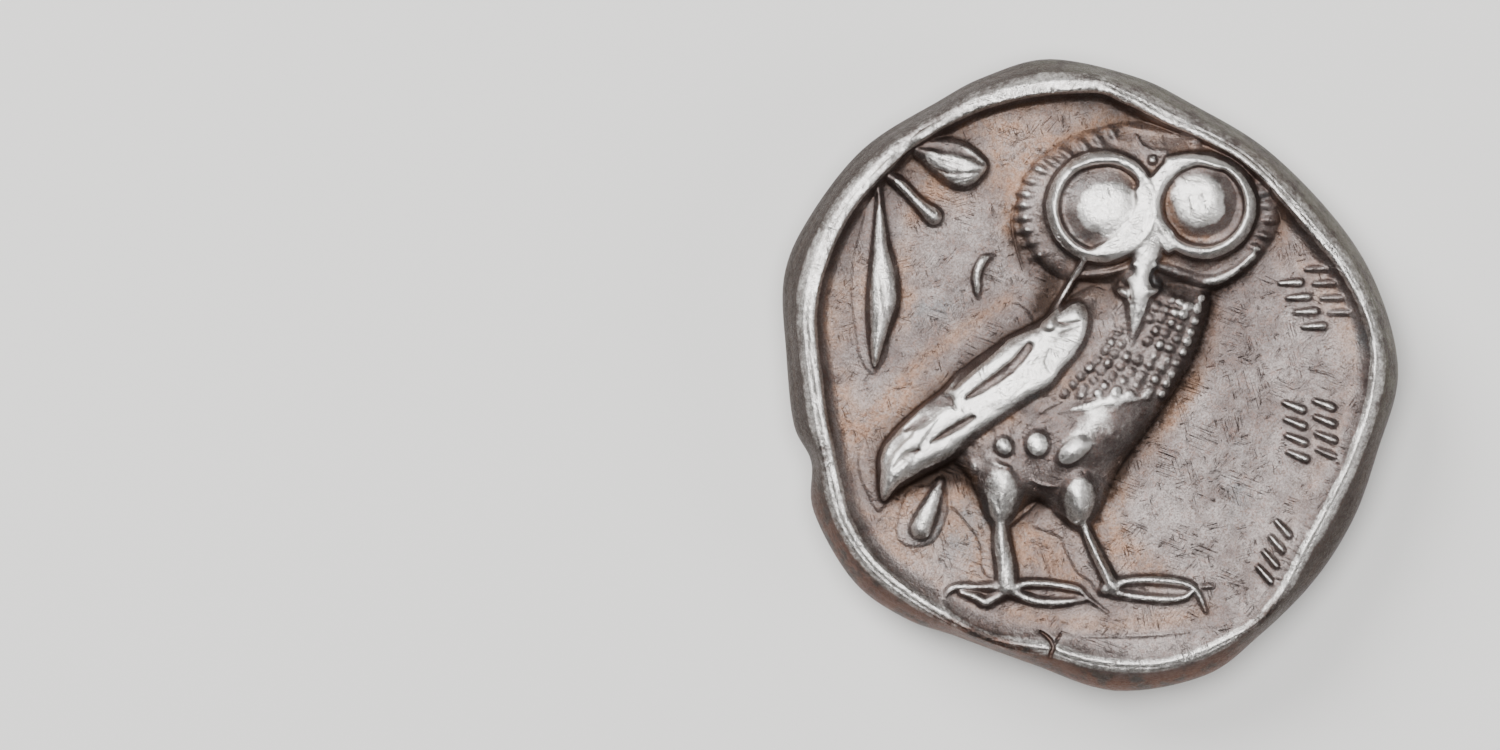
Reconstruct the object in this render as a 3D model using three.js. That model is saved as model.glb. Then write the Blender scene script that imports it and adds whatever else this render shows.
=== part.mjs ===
// A struck silver tetradrachm: an owl with an olive sprig on the upper side,
// a helmeted head in profile on the lower side. Millimetres, +Z up.
// The coin lies on the relief of its lower side; the origin is under the middle of its box.
import * as THREE from 'three';

// Driving dimensions. Places are in the owl's own directions, x to its right and y up.

const flan = {
  thickness: 2.26,        // from one field to the other
  headRelief: 1.85,       // highest worn relief of the lower side over its field
  rimHeight: 0.58,        // mean height of the raised rim over the owl's field
  rimSwell: 0.32,         // the rim is this much higher on one side and lower on the other
  rimSwellTurn: 105,      // degrees, where the rim is highest
  rimHalfWidth: 0.2,      // mean half width of the rim's flat crest
  rimWidthSwell: 0.08,
  rimWidthTurn: 135,      // degrees, where the crest is widest
  rimFoot: 0.75,          // mean width of the slope from the crest down to the field
  rimFootSwell: 0.3,      // how much narrower that slope is on the high side
  flankPower: 1.45,       // superellipse of the upper flank: 1 is a bevel, 2 a quarter round
  roundedEdge: 1.2,       // how far in the lower side's edge is rounded
  lipHeight: 0.32,        // low lip along the lower side's edge, before the face
  lipTurn: -10,           // degrees in the head's directions, the middle of the lip
  dieTurn: 69,            // degrees between the upright of the owl and the upright of the head
};
const sheet = { half: 13.2, pitch: 0.08, softness: 0.05 };  // the square on which relief is drawn
const mesh = {
  edgePoints: 96,
  ringPoints: 72,
  upperPoints: 2820,
  lowerPoints: 2250,
  samples: 320,           // samples of the relief across the disc
  unsteadiness: 0.25,     // how far a sample is moved off its grid, in cells
  reach: 0.996,           // samples keep this far inside the edge, as a share of the radius
};
const mountFace = { x: 5.2, y: -3.2, side: 2.2 };           // flat triangle in the owl's field

const silver = new THREE.MeshStandardMaterial({ color: 0xa9a29b, roughness: 0.42, metalness: 1 });

const flanOutline = [
  [12.7, 0], [12, 3.2], [10.4, 6], [7.5, 9], [4.4, 10.9], [2.1, 12], [-1.3, 12.7], [-3.9, 12],
  [-5.8, 11], [-8.8, 9.1], [-11, 6.3], [-12, 3.9], [-11.9, 0.8], [-11.6, -2], [-10.9, -3.5],
  [-10.8, -5.5], [-9.2, -8.3], [-7.1, -9.8], [-5.1, -10.5], [-2.1, -11.6], [1.3, -12.7],
  [4.9, -12.1], [7.1, -10.5], [9.3, -8.3], [10.9, -5.8], [11.9, -3],
];
const rimCrest = [
  [-10.85, 0], [-11, 3], [-9.95, 6.1], [-8.2, 8.3], [-6.2, 9.95], [-3.2, 11.25], [0.3, 11.65],
  [1.7, 11.2], [3.2, 10.45], [6.6, 8.65], [9.5, 5.55], [10.6, 4.1], [11.6, 2], [11.75, -0.2],
  [10.9, -3.2], [9, -6.9], [7.5, -9.5], [5.4, -10.85], [3, -11.65], [0.5, -11.55], [-1.2, -11.1],
  [-4, -10.55], [-7.6, -8.4], [-9.4, -6.3], [-10.2, -3.7],
];

// Curves.

const clamp = THREE.MathUtils.clamp;
const lerp = THREE.MathUtils.lerp;
const radians = THREE.MathUtils.degToRad;

function smoothCurve(points, closed, stepsPerSpan = 6) {
  const path = new THREE.CatmullRomCurve3(
    points.map(([x, y]) => new THREE.Vector3(x, y, 0)), closed, 'catmullrom', 0.5);
  const spans = closed ? points.length : points.length - 1;
  const line = path.getPoints(points.length === 2 ? 1 : spans * stepsPerSpan);
  if (closed) line.pop();
  return line.map((p) => [p.x, p.y]);
}

// A value that runs evenly through a list, t from 0 to 1.
function along(list, t) {
  if (!Array.isArray(list)) return list;
  const place = t * (list.length - 1);
  const first = Math.min(Math.floor(place), list.length - 2);
  return lerp(list[first], list[first + 1], place - first);
}

// Distance from the middle to a closed outline, by angle.
function radiusByAngle(outline) {
  const table = smoothCurve(outline, true, 8)
    .map(([x, y]) => [Math.atan2(y, x), Math.hypot(x, y)])
    .sort((a, b) => a[0] - b[0]);
  const turn = 2 * Math.PI;
  const first = table[0];
  const last = table[table.length - 1];
  table.unshift([last[0] - turn, last[1]]);
  table.push([first[0] + turn, first[1]]);
  return (angle) => {
    const a = Math.atan2(Math.sin(angle), Math.cos(angle));
    const i = table.findIndex((entry) => entry[0] >= a);
    const [a0, r0] = table[i - 1];
    const [a1, r1] = table[i];
    return lerp(r0, r1, (a - a0) / (a1 - a0));
  };
}

const owlRadius = radiusByAngle(flanOutline);
const crestRadius = radiusByAngle(rimCrest);

// The same mirror turns a place on the owl's side into one on the head's side and back.
const dieCos = Math.cos(radians(flan.dieTurn));
const dieSin = Math.sin(radians(flan.dieTurn));
const throughFlan = (x, y) => [dieCos * x + dieSin * y, dieSin * x - dieCos * y];
const headRadius = (angle) => owlRadius(radians(flan.dieTurn) - angle);

// Relief drawn on a square sheet of heights.

const cells = Math.round(2 * sheet.half / sheet.pitch) + 1;
const blank = () => new Float64Array(cells * cells);
const place = (index) => index * sheet.pitch - sheet.half;
const smoothStep = (t) => THREE.MathUtils.smoothstep(t, 0, 1);

// Raises the layer to heightAt(x, y) in a box; the layer keeps what is higher.
function raise(layer, [x0, y0, x1, y1], heightAt) {
  const cell = (v) => clamp(Math.round((v + sheet.half) / sheet.pitch), 0, cells - 1);
  for (let row = cell(y0); row <= cell(y1); row++) {
    for (let col = cell(x0); col <= cell(x1); col++) {
      const i = row * cells + col;
      layer[i] = Math.max(layer[i], heightAt(place(col), place(row)));
    }
  }
}

function boxOf(points, margin) {
  const xs = points.map((p) => p[0]);
  const ys = points.map((p) => p[1]);
  return [Math.min(...xs) - margin, Math.min(...ys) - margin,
    Math.max(...xs) + margin, Math.max(...ys) + margin];
}

// Nearest point of a line: distance to it, and how far along it lies, 0 to 1.
function nearest(line, x, y) {
  let best = Infinity;
  let at = 0;
  for (let i = 0; i < line.length - 1; i++) {
    const [ax, ay] = line[i];
    const dx = line[i + 1][0] - ax;
    const dy = line[i + 1][1] - ay;
    const s = clamp(((x - ax) * dx + (y - ay) * dy) / (dx * dx + dy * dy), 0, 1);
    const distance = Math.hypot(x - ax - s * dx, y - ay - s * dy);
    if (distance < best) {
      best = distance;
      at = (i + s) / (line.length - 1);
    }
  }
  return [best, at];
}

const swelling = (q, power) => Math.max(0, 1 - q * q) ** power;

// A bar along a curve; half width and height may change along it.
function bar(layer, points, halfWidth, height, power = 0.8) {
  const line = smoothCurve(points, false);
  const widest = Math.max(...[halfWidth].flat());
  raise(layer, boxOf(line, widest), (x, y) => {
    const [distance, t] = nearest(line, x, y);
    return along(height, t) * swelling(distance / along(halfWidth, t), power);
  });
}

// An area with a rounded shoulder inside its outline.
function cushion(layer, points, height, shoulder, power = 0.5) {
  const line = smoothCurve(points, true);
  const ring = [...line, line[0]];
  raise(layer, boxOf(line, 0), (x, y) => {
    let inside = false;
    for (let i = 0; i < line.length; i++) {
      const [ax, ay] = ring[i];
      const [bx, by] = ring[i + 1];
      if (ay > y !== by > y && x < ax + (y - ay) * (bx - ax) / (by - ay)) inside = !inside;
    }
    if (!inside) return 0;
    const t = Math.min(nearest(ring, x, y)[0] / shoulder, 1);
    return height * (1 - (1 - t) ** 2) ** power;
  });
}

// An oval cap.
function cap(layer, x0, y0, rx, ry, height, turn = 0, power = 0.8) {
  const c = Math.cos(radians(turn));
  const s = Math.sin(radians(turn));
  const reach = Math.max(rx, ry);
  raise(layer, [x0 - reach, y0 - reach, x0 + reach, y0 + reach], (x, y) => {
    const u = ((x - x0) * c + (y - y0) * s) / rx;
    const v = ((y - y0) * c - (x - x0) * s) / ry;
    return height * swelling(Math.hypot(u, v), power);
  });
}

// A raised circle.
function hoop(layer, x0, y0, radius, halfWidth, height) {
  const reach = radius + halfWidth;
  raise(layer, [x0 - reach, y0 - reach, x0 + reach, y0 + reach], (x, y) =>
    height * swelling((Math.hypot(x - x0, y - y0) - radius) / halfWidth, 0.8));
}

const combine = (a, b, rule) => a.map((height, i) => rule(height, b[i]));
const over = (a, b) => combine(a, b, Math.max);
const plus = (a, b) => combine(a, b, (p, q) => p + q);
const minus = (a, b) => combine(a, b, (p, q) => p - q);

// Blurs a sheet with a bell curve, along its rows and then along its columns.
function soften(layer, spread) {
  const reach = Math.ceil(3 * spread / sheet.pitch);
  const bell = [];
  for (let k = -reach; k <= reach; k++) bell.push(Math.exp(-0.5 * (k * sheet.pitch / spread) ** 2));
  const total = bell.reduce((sum, value) => sum + value, 0);
  const pass = (source, step) => source.map((value, i) => {
    let sum = 0;
    bell.forEach((share, k) => {
      const j = clamp(i + (k - reach) * step, 0, source.length - 1);
      sum += share * source[j];
    });
    return sum / total;
  });
  return pass(pass(layer, 1), cells);
}

// Draws one group of features on a layer of its own.
function drawn(draw) {
  const layer = blank();
  draw(layer);
  return layer;
}

// Height of a sheet between its cells.
function heightOf(layer, x, y) {
  const u = clamp((x + sheet.half) / sheet.pitch, 0, cells - 1.001);
  const v = clamp((y + sheet.half) / sheet.pitch, 0, cells - 1.001);
  const col = Math.floor(u);
  const row = Math.floor(v);
  const i = row * cells + col;
  return lerp(lerp(layer[i], layer[i + 1], u - col),
    lerp(layer[i + cells], layer[i + cells + 1], u - col), v - row);
}

// The owl's side.

const eyes = {
  rings: [[0.74, 6.72, 1.95], [4.84, 6.76, 1.82]],         // x, y, radius of the ring
  pupils: [[0.9, 6.66], [4.6, 6.98]],
  socketLevel: 0.8,
  wornLevel: 1.3,
};
const fringe = {
  feathers: 34,
  middle: [2.55, 6.3],
  roots: [4.55, 2.95],                                     // half axes of the inner oval
  tips: [5.15, 3.5],
};
const scales = { rows: 7, perRow: 12, pitch: 0.56, height: 0.17 };

function owlBody() {
  const body = drawn((layer) => cushion(layer, [
    [-1.6, 2.1], [-0.4, 3.2], [1.2, 3.9], [3.2, 4], [4.95, 3.5], [4.85, 1.8], [3.9, -0.3],
    [2.1, -2.9], [1.05, -4.6], [0.5, -5.9], [0, -6.3], [-0.5, -6.1], [-1.8, -5.1], [-2.5, -5.4],
    [-3, -6.1], [-3.5, -6.25], [-3.95, -5.7], [-4.3, -4.7], [-5.4, -3.2], [-5.5, -1.6], [-3.6, 0.6],
  ], 0.86, 2.1, 0.6));
  const thighs = drawn((layer) => {
    cap(layer, -3.3, -4.75, 0.95, 1.45, 0.42, 14);
    cap(layer, -0.2, -4.95, 0.8, 1.25, 0.42, -8);
    cap(layer, 0.5, -2, 2.7, 1.6, 0.3, 42, 1);
    cap(layer, -1.6, -3.4, 2.2, 1.5, 0.1, 0, 1);
  });
  const wing = drawn((layer) => cushion(layer, [
    [-8.05, -5.1], [-8.25, -4], [-8.15, -3], [-6.5, -1.2], [-5, 0.15], [-3, 1.55], [-1.7, 2.2],
    [-0.3, 3.05], [0.15, 2.9], [0.5, 1.6], [-0.5, 0], [-2, -1.3], [-4.2, -2.75], [-6.5, -4.1],
  ], 1.24, 0.8));
  const head = drawn((layer) => cushion(layer, [
    [-2.85, 6.6], [-2.55, 7.9], [-1.5, 9], [0.4, 9.85], [2.5, 10.15], [4.6, 9.9], [6.4, 9.1],
    [7.6, 7.8], [7.9, 6.4], [7.4, 5.1], [5, 3.3], [3.4, 3.4], [0, 3.75], [-1.5, 3.75], [-2.5, 4.9],
  ], 0.5, 1.5));
  cap(head, 2.6, 6.6, 4.7, 3.3, 0.98, 0, 0.5);
  return over(over(plus(body, thighs), wing), head);
}

// Sinks each socket to one level, then stands the ring and the worn ball of the eye in it.
function withEyes(owl) {
  const raised = drawn((layer) => eyes.rings.forEach(([x, y, radius], i) => {
    hoop(layer, x, y, radius + 0.06, 0.27, 0.6);
    cap(layer, ...eyes.pupils[i], 0.84 * radius, 0.82 * radius, 0.6, 0, 0.9);
  }));
  return owl.map((height, i) => {
    const x = place(i % cells);
    const y = place(Math.floor(i / cells));
    let level = height;
    for (const [x0, y0, radius] of eyes.rings) {
      const sunk = smoothStep((radius + 0.25 - Math.hypot(x - x0, y - y0)) / 0.45);
      level = lerp(level, eyes.socketLevel, sunk);
    }
    return level + Math.min(raised[i], eyes.wornLevel - eyes.socketLevel);
  });
}

function browAndBeak(layer) {
  cushion(layer, [                                         // brow and bridge, worn flat
    [2.55, 7.95], [3.45, 8.72], [3.95, 8.62], [3.22, 7.4], [3.4, 6.2], [3.85, 5.15], [3.4, 4.75],
    [2.75, 5.5], [1.9, 4.85], [0.4, 4.6], [0, 4.9], [1.1, 5.62], [1.98, 6.85], [2.08, 7.65],
    [1.5, 8.5], [1.9, 8.66],
  ], 1.33, 0.2);
  cushion(layer, [
    [2.2, 4.9], [2.9, 4.95], [3.25, 4.7], [2.68, 4], [3.2, 3.5], [2.6, 2.5], [2.1, 1.25],
    [1.68, 1.6], [1.45, 2.9], [1.15, 3.5], [1.9, 3.95],
  ], 1.3, 0.4);
}

function ruff(layer) {
  bar(layer, [[2, 4.42], [1.2, 4.12], [-0.1, 3.98]], 0.16, 0.26);
  bar(layer, [[2.95, 4.35], [4.4, 3.85], [5.2, 3.72], [6.1, 4.1], [6.8, 4.7]], [0.2, 0.3, 0.25], 0.26);
  bar(layer, [[-0.02, 4.5], [-0.7, 3.35], [-1.38, 2.2]], [0.15, 0.17, 0.2], 0.55);
  cap(layer, -1.42, 2.05, 0.34, 0.3, 0.42, 0, 0.6);
}

// Short feathers round the head, their roots in one oval and their tips in a wider one.
function fringeFeathers(layer) {
  for (let k = 0; k < fringe.feathers; k++) {
    const a = radians(lerp(-24, 214, k / (fringe.feathers - 1)));
    const onOval = ([rx, ry]) => [
      fringe.middle[0] + rx * Math.cos(a), fringe.middle[1] + ry * Math.sin(a),
    ];
    bar(layer, [onOval(fringe.roots), onOval(fringe.tips)], [0.12, 0.2, 0.16], 0.17);
  }
}

function wingHollows(layer) {
  for (const [line, width, depth] of [
    [[[-3.25, 1.3], [-4.6, 0.2], [-5.2, -0.5]], [0.1, 0.27, 0.1], 0.3],
    [[[-2.2, 1.15], [-3.5, -0.15], [-4.7, -0.92]], [0.2, 0.22, 0.06], 0.26],
    [[[-5.4, -1], [-6.5, -1.85], [-7.1, -2.2]], [0.22, 0.34, 0.1], 0.26],
    [[[-4.45, -1.72], [-5.6, -2.4], [-6.1, -2.68]], 0.14, 0.24],
    [[[-6.6, -3], [-7.1, -3.25], [-7.6, -3.75]], 0.15, 0.2],
    [[[-6.9, -2.35], [-7.5, -2.8], [-7.9, -3.5]], 0.16, 0.18],
    [[[-1, 2.1], [-0.6, 2.02], [-0.15, 2.12]], 0.12, 0.18],
  ]) bar(layer, line, width, depth, 0.5);
}

// Scales of the breast: rows that fan out from a slanting line, every other row half a pitch on.
function breastScales(layer) {
  for (let row = 0; row < scales.rows; row++) {
    let x = -0.78 + 0.62 * row;
    let y = -0.72 - 0.02 * row;
    for (let k = 0; k < scales.perRow; k++) {
      const turn = 44 + 3.2 * row + 1.2 * k;
      const underBeak = Math.abs(x - 2.1) < 0.3 + 0.22 * (y - 1) && y > 0.95;
      const underWing = row > 0 && y > -0.3 && x < 0.25 + 0.7 * (y - 0.3);
      const onBreast = y < 3.1 && x < 4.9 - 0.42 * (2.9 - y);
      if (onBreast && !underBeak && !underWing) {
        cap(layer, x, y, 0.32, 0.27, scales.height, turn, 0.42);
      }
      const step = scales.pitch * (k === 0 && row % 2 ? 0.5 : 1);
      x += step * Math.cos(radians(turn));
      y += step * Math.sin(radians(turn));
    }
  }
}

function bellyFeathers(layer) {
  for (const [x, y, rx, ry, turn, height] of [
    [-3.2, -2.85, 0.42, 0.48, 30, 0.34], [-1.85, -2.75, 0.56, 0.6, 0, 0.36],
    [-0.4, -3.05, 0.85, 0.5, 38, 0.36], [-4.4, -3.7, 0.28, 0.34, 30, 0.2],
  ]) cap(layer, x, y, rx, ry, height, turn);
  bar(layer, [[-1, -1.5], [0.2, -1.22], [1.4, -0.98], [2.5, -0.95]], [0.06, 0.2, 0.3, 0.12], 0.2);
}

function legsAndClaws(layer) {
  bar(layer, [[-3.3, -5.9], [-3.25, -6.8], [-3.05, -8.5]], [0.34, 0.45, 0.52], 0.6);
  bar(layer, [[0, -5.9], [0.4, -6.9], [1.2, -8.5]], [0.26, 0.28, 0.36], 0.58);
  for (const [line, width, height] of [
    [[[-2.9, -8.6], [-1.7, -8.36], [-0.2, -8.6], [1, -9.55]], [0.3, 0.19, 0.16, 0.1], [0.5, 0.42, 0.15]],
    [[[-2.9, -8.65], [-1.8, -9.08], [0.1, -9]], [0.3, 0.22, 0.12], [0.45, 0.34, 0.25]],
    [[[-3.4, -8.5], [-4.9, -8.48], [-5.58, -9.05], [-5.42, -9.5]], [0.3, 0.17, 0.1], [0.45, 0.36, 0.2]],
    [[[-3.1, -8.7], [-3.9, -9.12], [-4.9, -8.72]], [0.3, 0.25, 0.12], 0.42],
    [[[1.1, -8.5], [2.6, -8.22], [4.3, -8.45], [4.93, -9.5]], [0.3, 0.2, 0.18, 0.1], [0.5, 0.42, 0.2]],
    [[[0.9, -8.6], [2.3, -8.92], [4, -8.95], [4.4, -8.7]], [0.28, 0.2, 0.16, 0.1], [0.42, 0.32]],
  ]) bar(layer, line, width, height, 0.6);
  bar(layer, [[-5.72, -4.3], [-6, -5], [-6.5, -6.15]], [0.2, 0.4, 0.5], [0.4, 0.58], 0.6);   // hind claw
}

function sprig(layer) {
  cushion(layer, [
    [-7.1, 9.1], [-5.5, 9.55], [-3.95, 8.75], [-3.78, 8.35], [-4.7, 7.42], [-5.3, 7.5], [-6.5, 8.5],
  ], 0.66, 0.7);
  cushion(layer, [
    [-8.45, 8.1], [-7.95, 6.6], [-7.5, 4.5], [-7.35, 3.5], [-7.4, 2.6], [-8.35, 0.25], [-8.7, 2.4],
    [-8.5, 5.2],
  ], 0.62, 0.5, 0.6);
  bar(layer, [[-8.1, 8.15], [-7.4, 7.7], [-6, 6.35]], [0.24, 0.26, 0.4], [0.5, 0.46, 0.62], 0.6);
  bar(layer, [[-3.6, 4.8], [-4.25, 4.1], [-4.2, 3.1]], [0.1, 0.2, 0.1], [0.15, 0.4, 0.15], 0.6);  // crescent
}

const legend = {
  places: [[9.3, 3.1, -62], [9.1, -2.2, -86], [8.2, -7.3, -112]],   // x, y, turn in degrees
  lines: [0.6, -0.6],                                      // offset of each row
  strokes: 4,
  pitch: 0.66,
  halfLength: 0.4,
  lean: 64,
};

// Two rows of short slanted strokes at each place where the legend stands.
function legendStrokes(layer) {
  for (const [x0, y0, turn] of legend.places) {
    const c = Math.cos(radians(turn));
    const s = Math.sin(radians(turn));
    const dx = legend.halfLength * Math.cos(radians(turn + legend.lean));
    const dy = legend.halfLength * Math.sin(radians(turn + legend.lean));
    for (const offset of legend.lines) {
      for (let k = 0; k < legend.strokes; k++) {
        const step = (k - (legend.strokes - 1) / 2) * legend.pitch;
        const x = x0 + step * c - offset * s;
        const y = y0 + step * s + offset * c;
        bar(layer, [[x - dx, y - dy], [x + dx, y + dy]], [0.11, 0.17], [0.26, 0.34], 0.6);
      }
    }
  }
}

function owlRelief() {
  let owl = over(withEyes(owlBody()), drawn(browAndBeak));
  for (const layer of [ruff, fringeFeathers, breastScales, bellyFeathers]) {
    owl = plus(owl, drawn(layer));
  }
  owl = minus(owl, drawn(wingHollows));
  for (const layer of [legsAndClaws, sprig, legendStrokes]) owl = over(owl, drawn(layer));
  return owl;
}

// The head's side, in directions of its own: x to the face's front, y up.

// The face is laid out in thirds of its height: hairline, brow, base of the nose, chin.
const face = { third: 5.2, x: 7.35, y: -1, lean: 3 };

// A place on the face: thirds up from the base of the nose, thirds forward of the brow.
function onFace([up, forward]) {
  const c = Math.cos(radians(face.lean));
  const s = Math.sin(radians(face.lean));
  return [
    face.x + face.third * (forward * c - up * s),
    face.y + face.third * (forward * s + up * c),
  ];
}

const onFaceAll = (points) => points.map(onFace);

function faceMass() {
  const plain = drawn((layer) => cushion(layer, onFaceAll([
    [2.02, -0.2], [1.35, 0], [0.86, 0], [0.4, 0.2], [0.1, 0.34], [0.02, 0.26], [-0.04, 0.05],
    [-0.22, 0.11], [-0.335, 0.03], [-0.42, 0.08], [-0.56, -0.03], [-0.8, 0.01], [-1.03, -0.22],
    [-1.05, -0.7], [-0.75, -1.5], [0.5, -1.9], [1.7, -0.6],
  ]), 1, 1.9));
  const swell = drawn((layer) => cap(layer, ...onFace([0.1, -1.15]), 7.2, 8, 0.85));
  return combine(plain, swell, (height, more) => height * (1 + more));
}

function headMass() {
  const neck = drawn((layer) => cushion(layer, [
    [-6.6, -1], [-6.9, -3.5], [-6.85, -8.2], [-4.5, -9.6], [-2.9, -10.6], [1, -10.6], [2.8, -11],
    [3.9, -8], [4.6, -6.6], [4.6, -3], [0, -1],
  ], 1.05, 1.6));
  const bowl = drawn((layer) => {
    cushion(layer, [
      [-8.2, 10.4], [-10.4, 7.2], [-11.1, 3], [-10.7, 0.4], [-9.6, -1.6], [-8, -3.1], [-5, -3.5],
      [-3.3, -2.9], [-2, 2], [-1, 5.6], [2.5, 8.6], [5.9, 9.6], [6.4, 10.6], [4.5, 12.6], [0, 13],
      [-5, 12.7],
    ], 1.15, 2);
    cap(layer, -4.2, 5.8, 7.6, 7.4, 1.72, 0, 0.7);
  });
  return over(over(neck, faceMass()), bowl);
}

function eyeHollow(layer) {
  cap(layer, ...onFace([0.715, -0.5]), 1.95, 1.25, 0.36, 3, 1);
}

function faceFeatures(layer) {
  const upperLid = [[0.69, -0.82], [0.81, -0.68], [0.855, -0.5], [0.82, -0.32], [0.7, -0.22]];
  const lowerLid = [[0.69, -0.82], [0.615, -0.66], [0.585, -0.5], [0.61, -0.34], [0.7, -0.22]];
  const brow = [[0.86, -0.98], [1.02, -0.72], [1.06, -0.42], [0.99, -0.14]];
  cap(layer, ...onFace([0.71, -0.5]), 1.3, 0.72, 0.42, 3, 0.55);              // eyeball
  bar(layer, onFaceAll(upperLid), 0.17, 0.42);
  bar(layer, onFaceAll(lowerLid), 0.14, 0.34);
  bar(layer, onFaceAll(brow), [0.15, 0.3, 0.34, 0.25], [0.1, 0.25, 0.28, 0.2], 1);
  cap(layer, ...onFace([0.11, 0.13]), 0.62, 0.55, 0.3);                       // wing of the nose
  bar(layer, onFaceAll([[0.8, -0.12], [0.5, 0.02], [0.2, 0.2]]), 0.5, [0, 0.24], 1.6);
  bar(layer, onFaceAll([[-0.31, -0.3], [-0.25, -0.12], [-0.23, 0.06]]), [0.12, 0.3], [0.1, 0.34]);
  bar(layer, onFaceAll([[-0.34, -0.3], [-0.405, -0.12], [-0.415, 0.03]]), [0.1, 0.28], [0.1, 0.3]);
  cap(layer, ...onFace([-0.78, -0.12]), 0.95, 0.9, 0.22, 0, 1);               // chin
}

function faceFolds(layer) {
  bar(layer, onFaceAll([[0.02, 0], [0.12, -0.03], [0.27, 0.1]]), 0.12, 0.22);
  bar(layer, onFaceAll([[-0.315, -0.42], [-0.325, 0.08]]), 0.12, [0.12, 0.34]);
}

function hairMass(layer) {
  cushion(layer, [
    [-2.2, 5.6], [-1, 4.95], [0.6, 4.95], [4.8, 7.3], [6.2, 9], [6.2, 10.1], [2, 9.2], [-2, 6.8],
  ], 1.4, 0.5);
  cushion(layer, [
    [-2.2, 5], [-1.8, 5.5], [0.1, 4.5], [0.35, 3.6], [-0.5, 1.7], [-2.6, 1.4], [-3.8, 2], [-2.5, 3.2],
  ], 1.8, 0.8);
}

function hairStrands(layer) {
  for (const [line, width] of [
    [[[-1.7, 6.1], [-0.4, 5.32], [1.8, 5.8], [4, 7.15], [5.6, 9.05], [5.9, 9.8]], 0.38],
    [[[-1.2, 6.5], [0.2, 6.05], [2.2, 6.75], [4.2, 8.1], [5.5, 9.5]], 0.36],
    [[[-0.8, 7], [0.4, 6.68], [2.2, 7.35], [3.9, 8.6], [4.5, 9.25]], 0.35],
    [[[-0.2, 7.42], [1.3, 7.5], [2.9, 8.55], [3.5, 9.2]], 0.28],
  ]) bar(layer, line, [0.15, width, width, width, 0.15], 0.6, 0.6);
}

function curlGrooves(layer) {
  bar(layer, [[-0.6, 5], [-0.2, 4.2], [-1, 2.4], [-2.2, 2.1]], 0.14, 0.24);
  bar(layer, [[-1.3, 5.2], [-0.9, 3.4], [-2.6, 2.6]], 0.14, 0.24);
}

function ear(layer) {
  bar(layer, [
    [-2.3, 3.2], [-3, 4.2], [-4.6, 4], [-5.4, 2.3], [-4.8, 0.6], [-3, -1.1],
  ], 0.34, 0.55);
  bar(layer, [[-5, 1.5], [-4.5, 2.8], [-3.4, 3.5], [-2.6, 2.7]], 0.2, 0.4);
  bar(layer, [[-4.6, 0.9], [-3, 0.6], [-1.9, -0.2]], 0.24, 0.45);
}

function volutes(layer) {
  bar(layer, [
    [-3.6, 4.75], [-5.5, 5.6], [-8, 6.85], [-9.6, 6.2], [-9.8, 4.6], [-8, 2.4], [-6.4, 1.1],
    [-5.95, -0.5], [-7, -1.85], [-8.5, -1.4], [-10, 1.1],
  ], 0.32, 0.36);
  bar(layer, [[-7.4, 2], [-8.3, 1.95], [-10.2, 2.3]], 0.25, 0.3);
  bar(layer, [[-8.2, 1.7], [-8.7, 0.3], [-7.8, -0.55], [-7.2, -0.35]], 0.26, 0.3);
  bar(layer, [[-7.2, 6.2], [-6.95, 5.4], [-8.3, 4.25]], 0.26, 0.3);
  bar(layer, [[-5.55, 8.15], [-5.4, 7.1], [-6.6, 6.6]], 0.3, 0.3);
  bar(layer, [[-3.9, 8.6], [-4.1, 7.3], [-4.9, 6.6]], 0.3, 0.3);
  bar(layer, [[-6.2, 4.8], [-6.1, 4.2], [-7, 3.1]], [0.35, 0.22], 0.28);
}

function leavesAndVisor(layer) {
  cushion(layer, [
    [-4.1, 12.6], [-3.6, 10.7], [-2.6, 8.3], [-1.9, 7.3], [-1, 7.9], [-1.9, 10.2], [-2.6, 12.4],
  ], 0.5, 0.45);
  cushion(layer, [[-0.95, 12.7], [-0.4, 9.9], [0, 8.9], [1.2, 9.2], [0.85, 12.7]], 0.5, 0.45);
  cushion(layer, [[1.5, 12.4], [1.7, 10.2], [4.1, 11.3], [3.6, 11.9]], 0.2, 0.3);
  bar(layer, [
    [-3.6, 5.7], [-2.3, 7], [0.3, 8.85], [3, 10.05], [4.3, 10.5], [5.3, 10.5], [5.9, 10.1],
  ], [0.45, 0.52, 0.52, 0.4], 0.42, 0.5);
  bar(layer, [[-3.1, 5.25], [-1.1, 7.05], [1.6, 8.65], [4.2, 9.75], [5.6, 9.9]], [0.32, 0.2], 0.4, 0.5);
}

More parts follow.
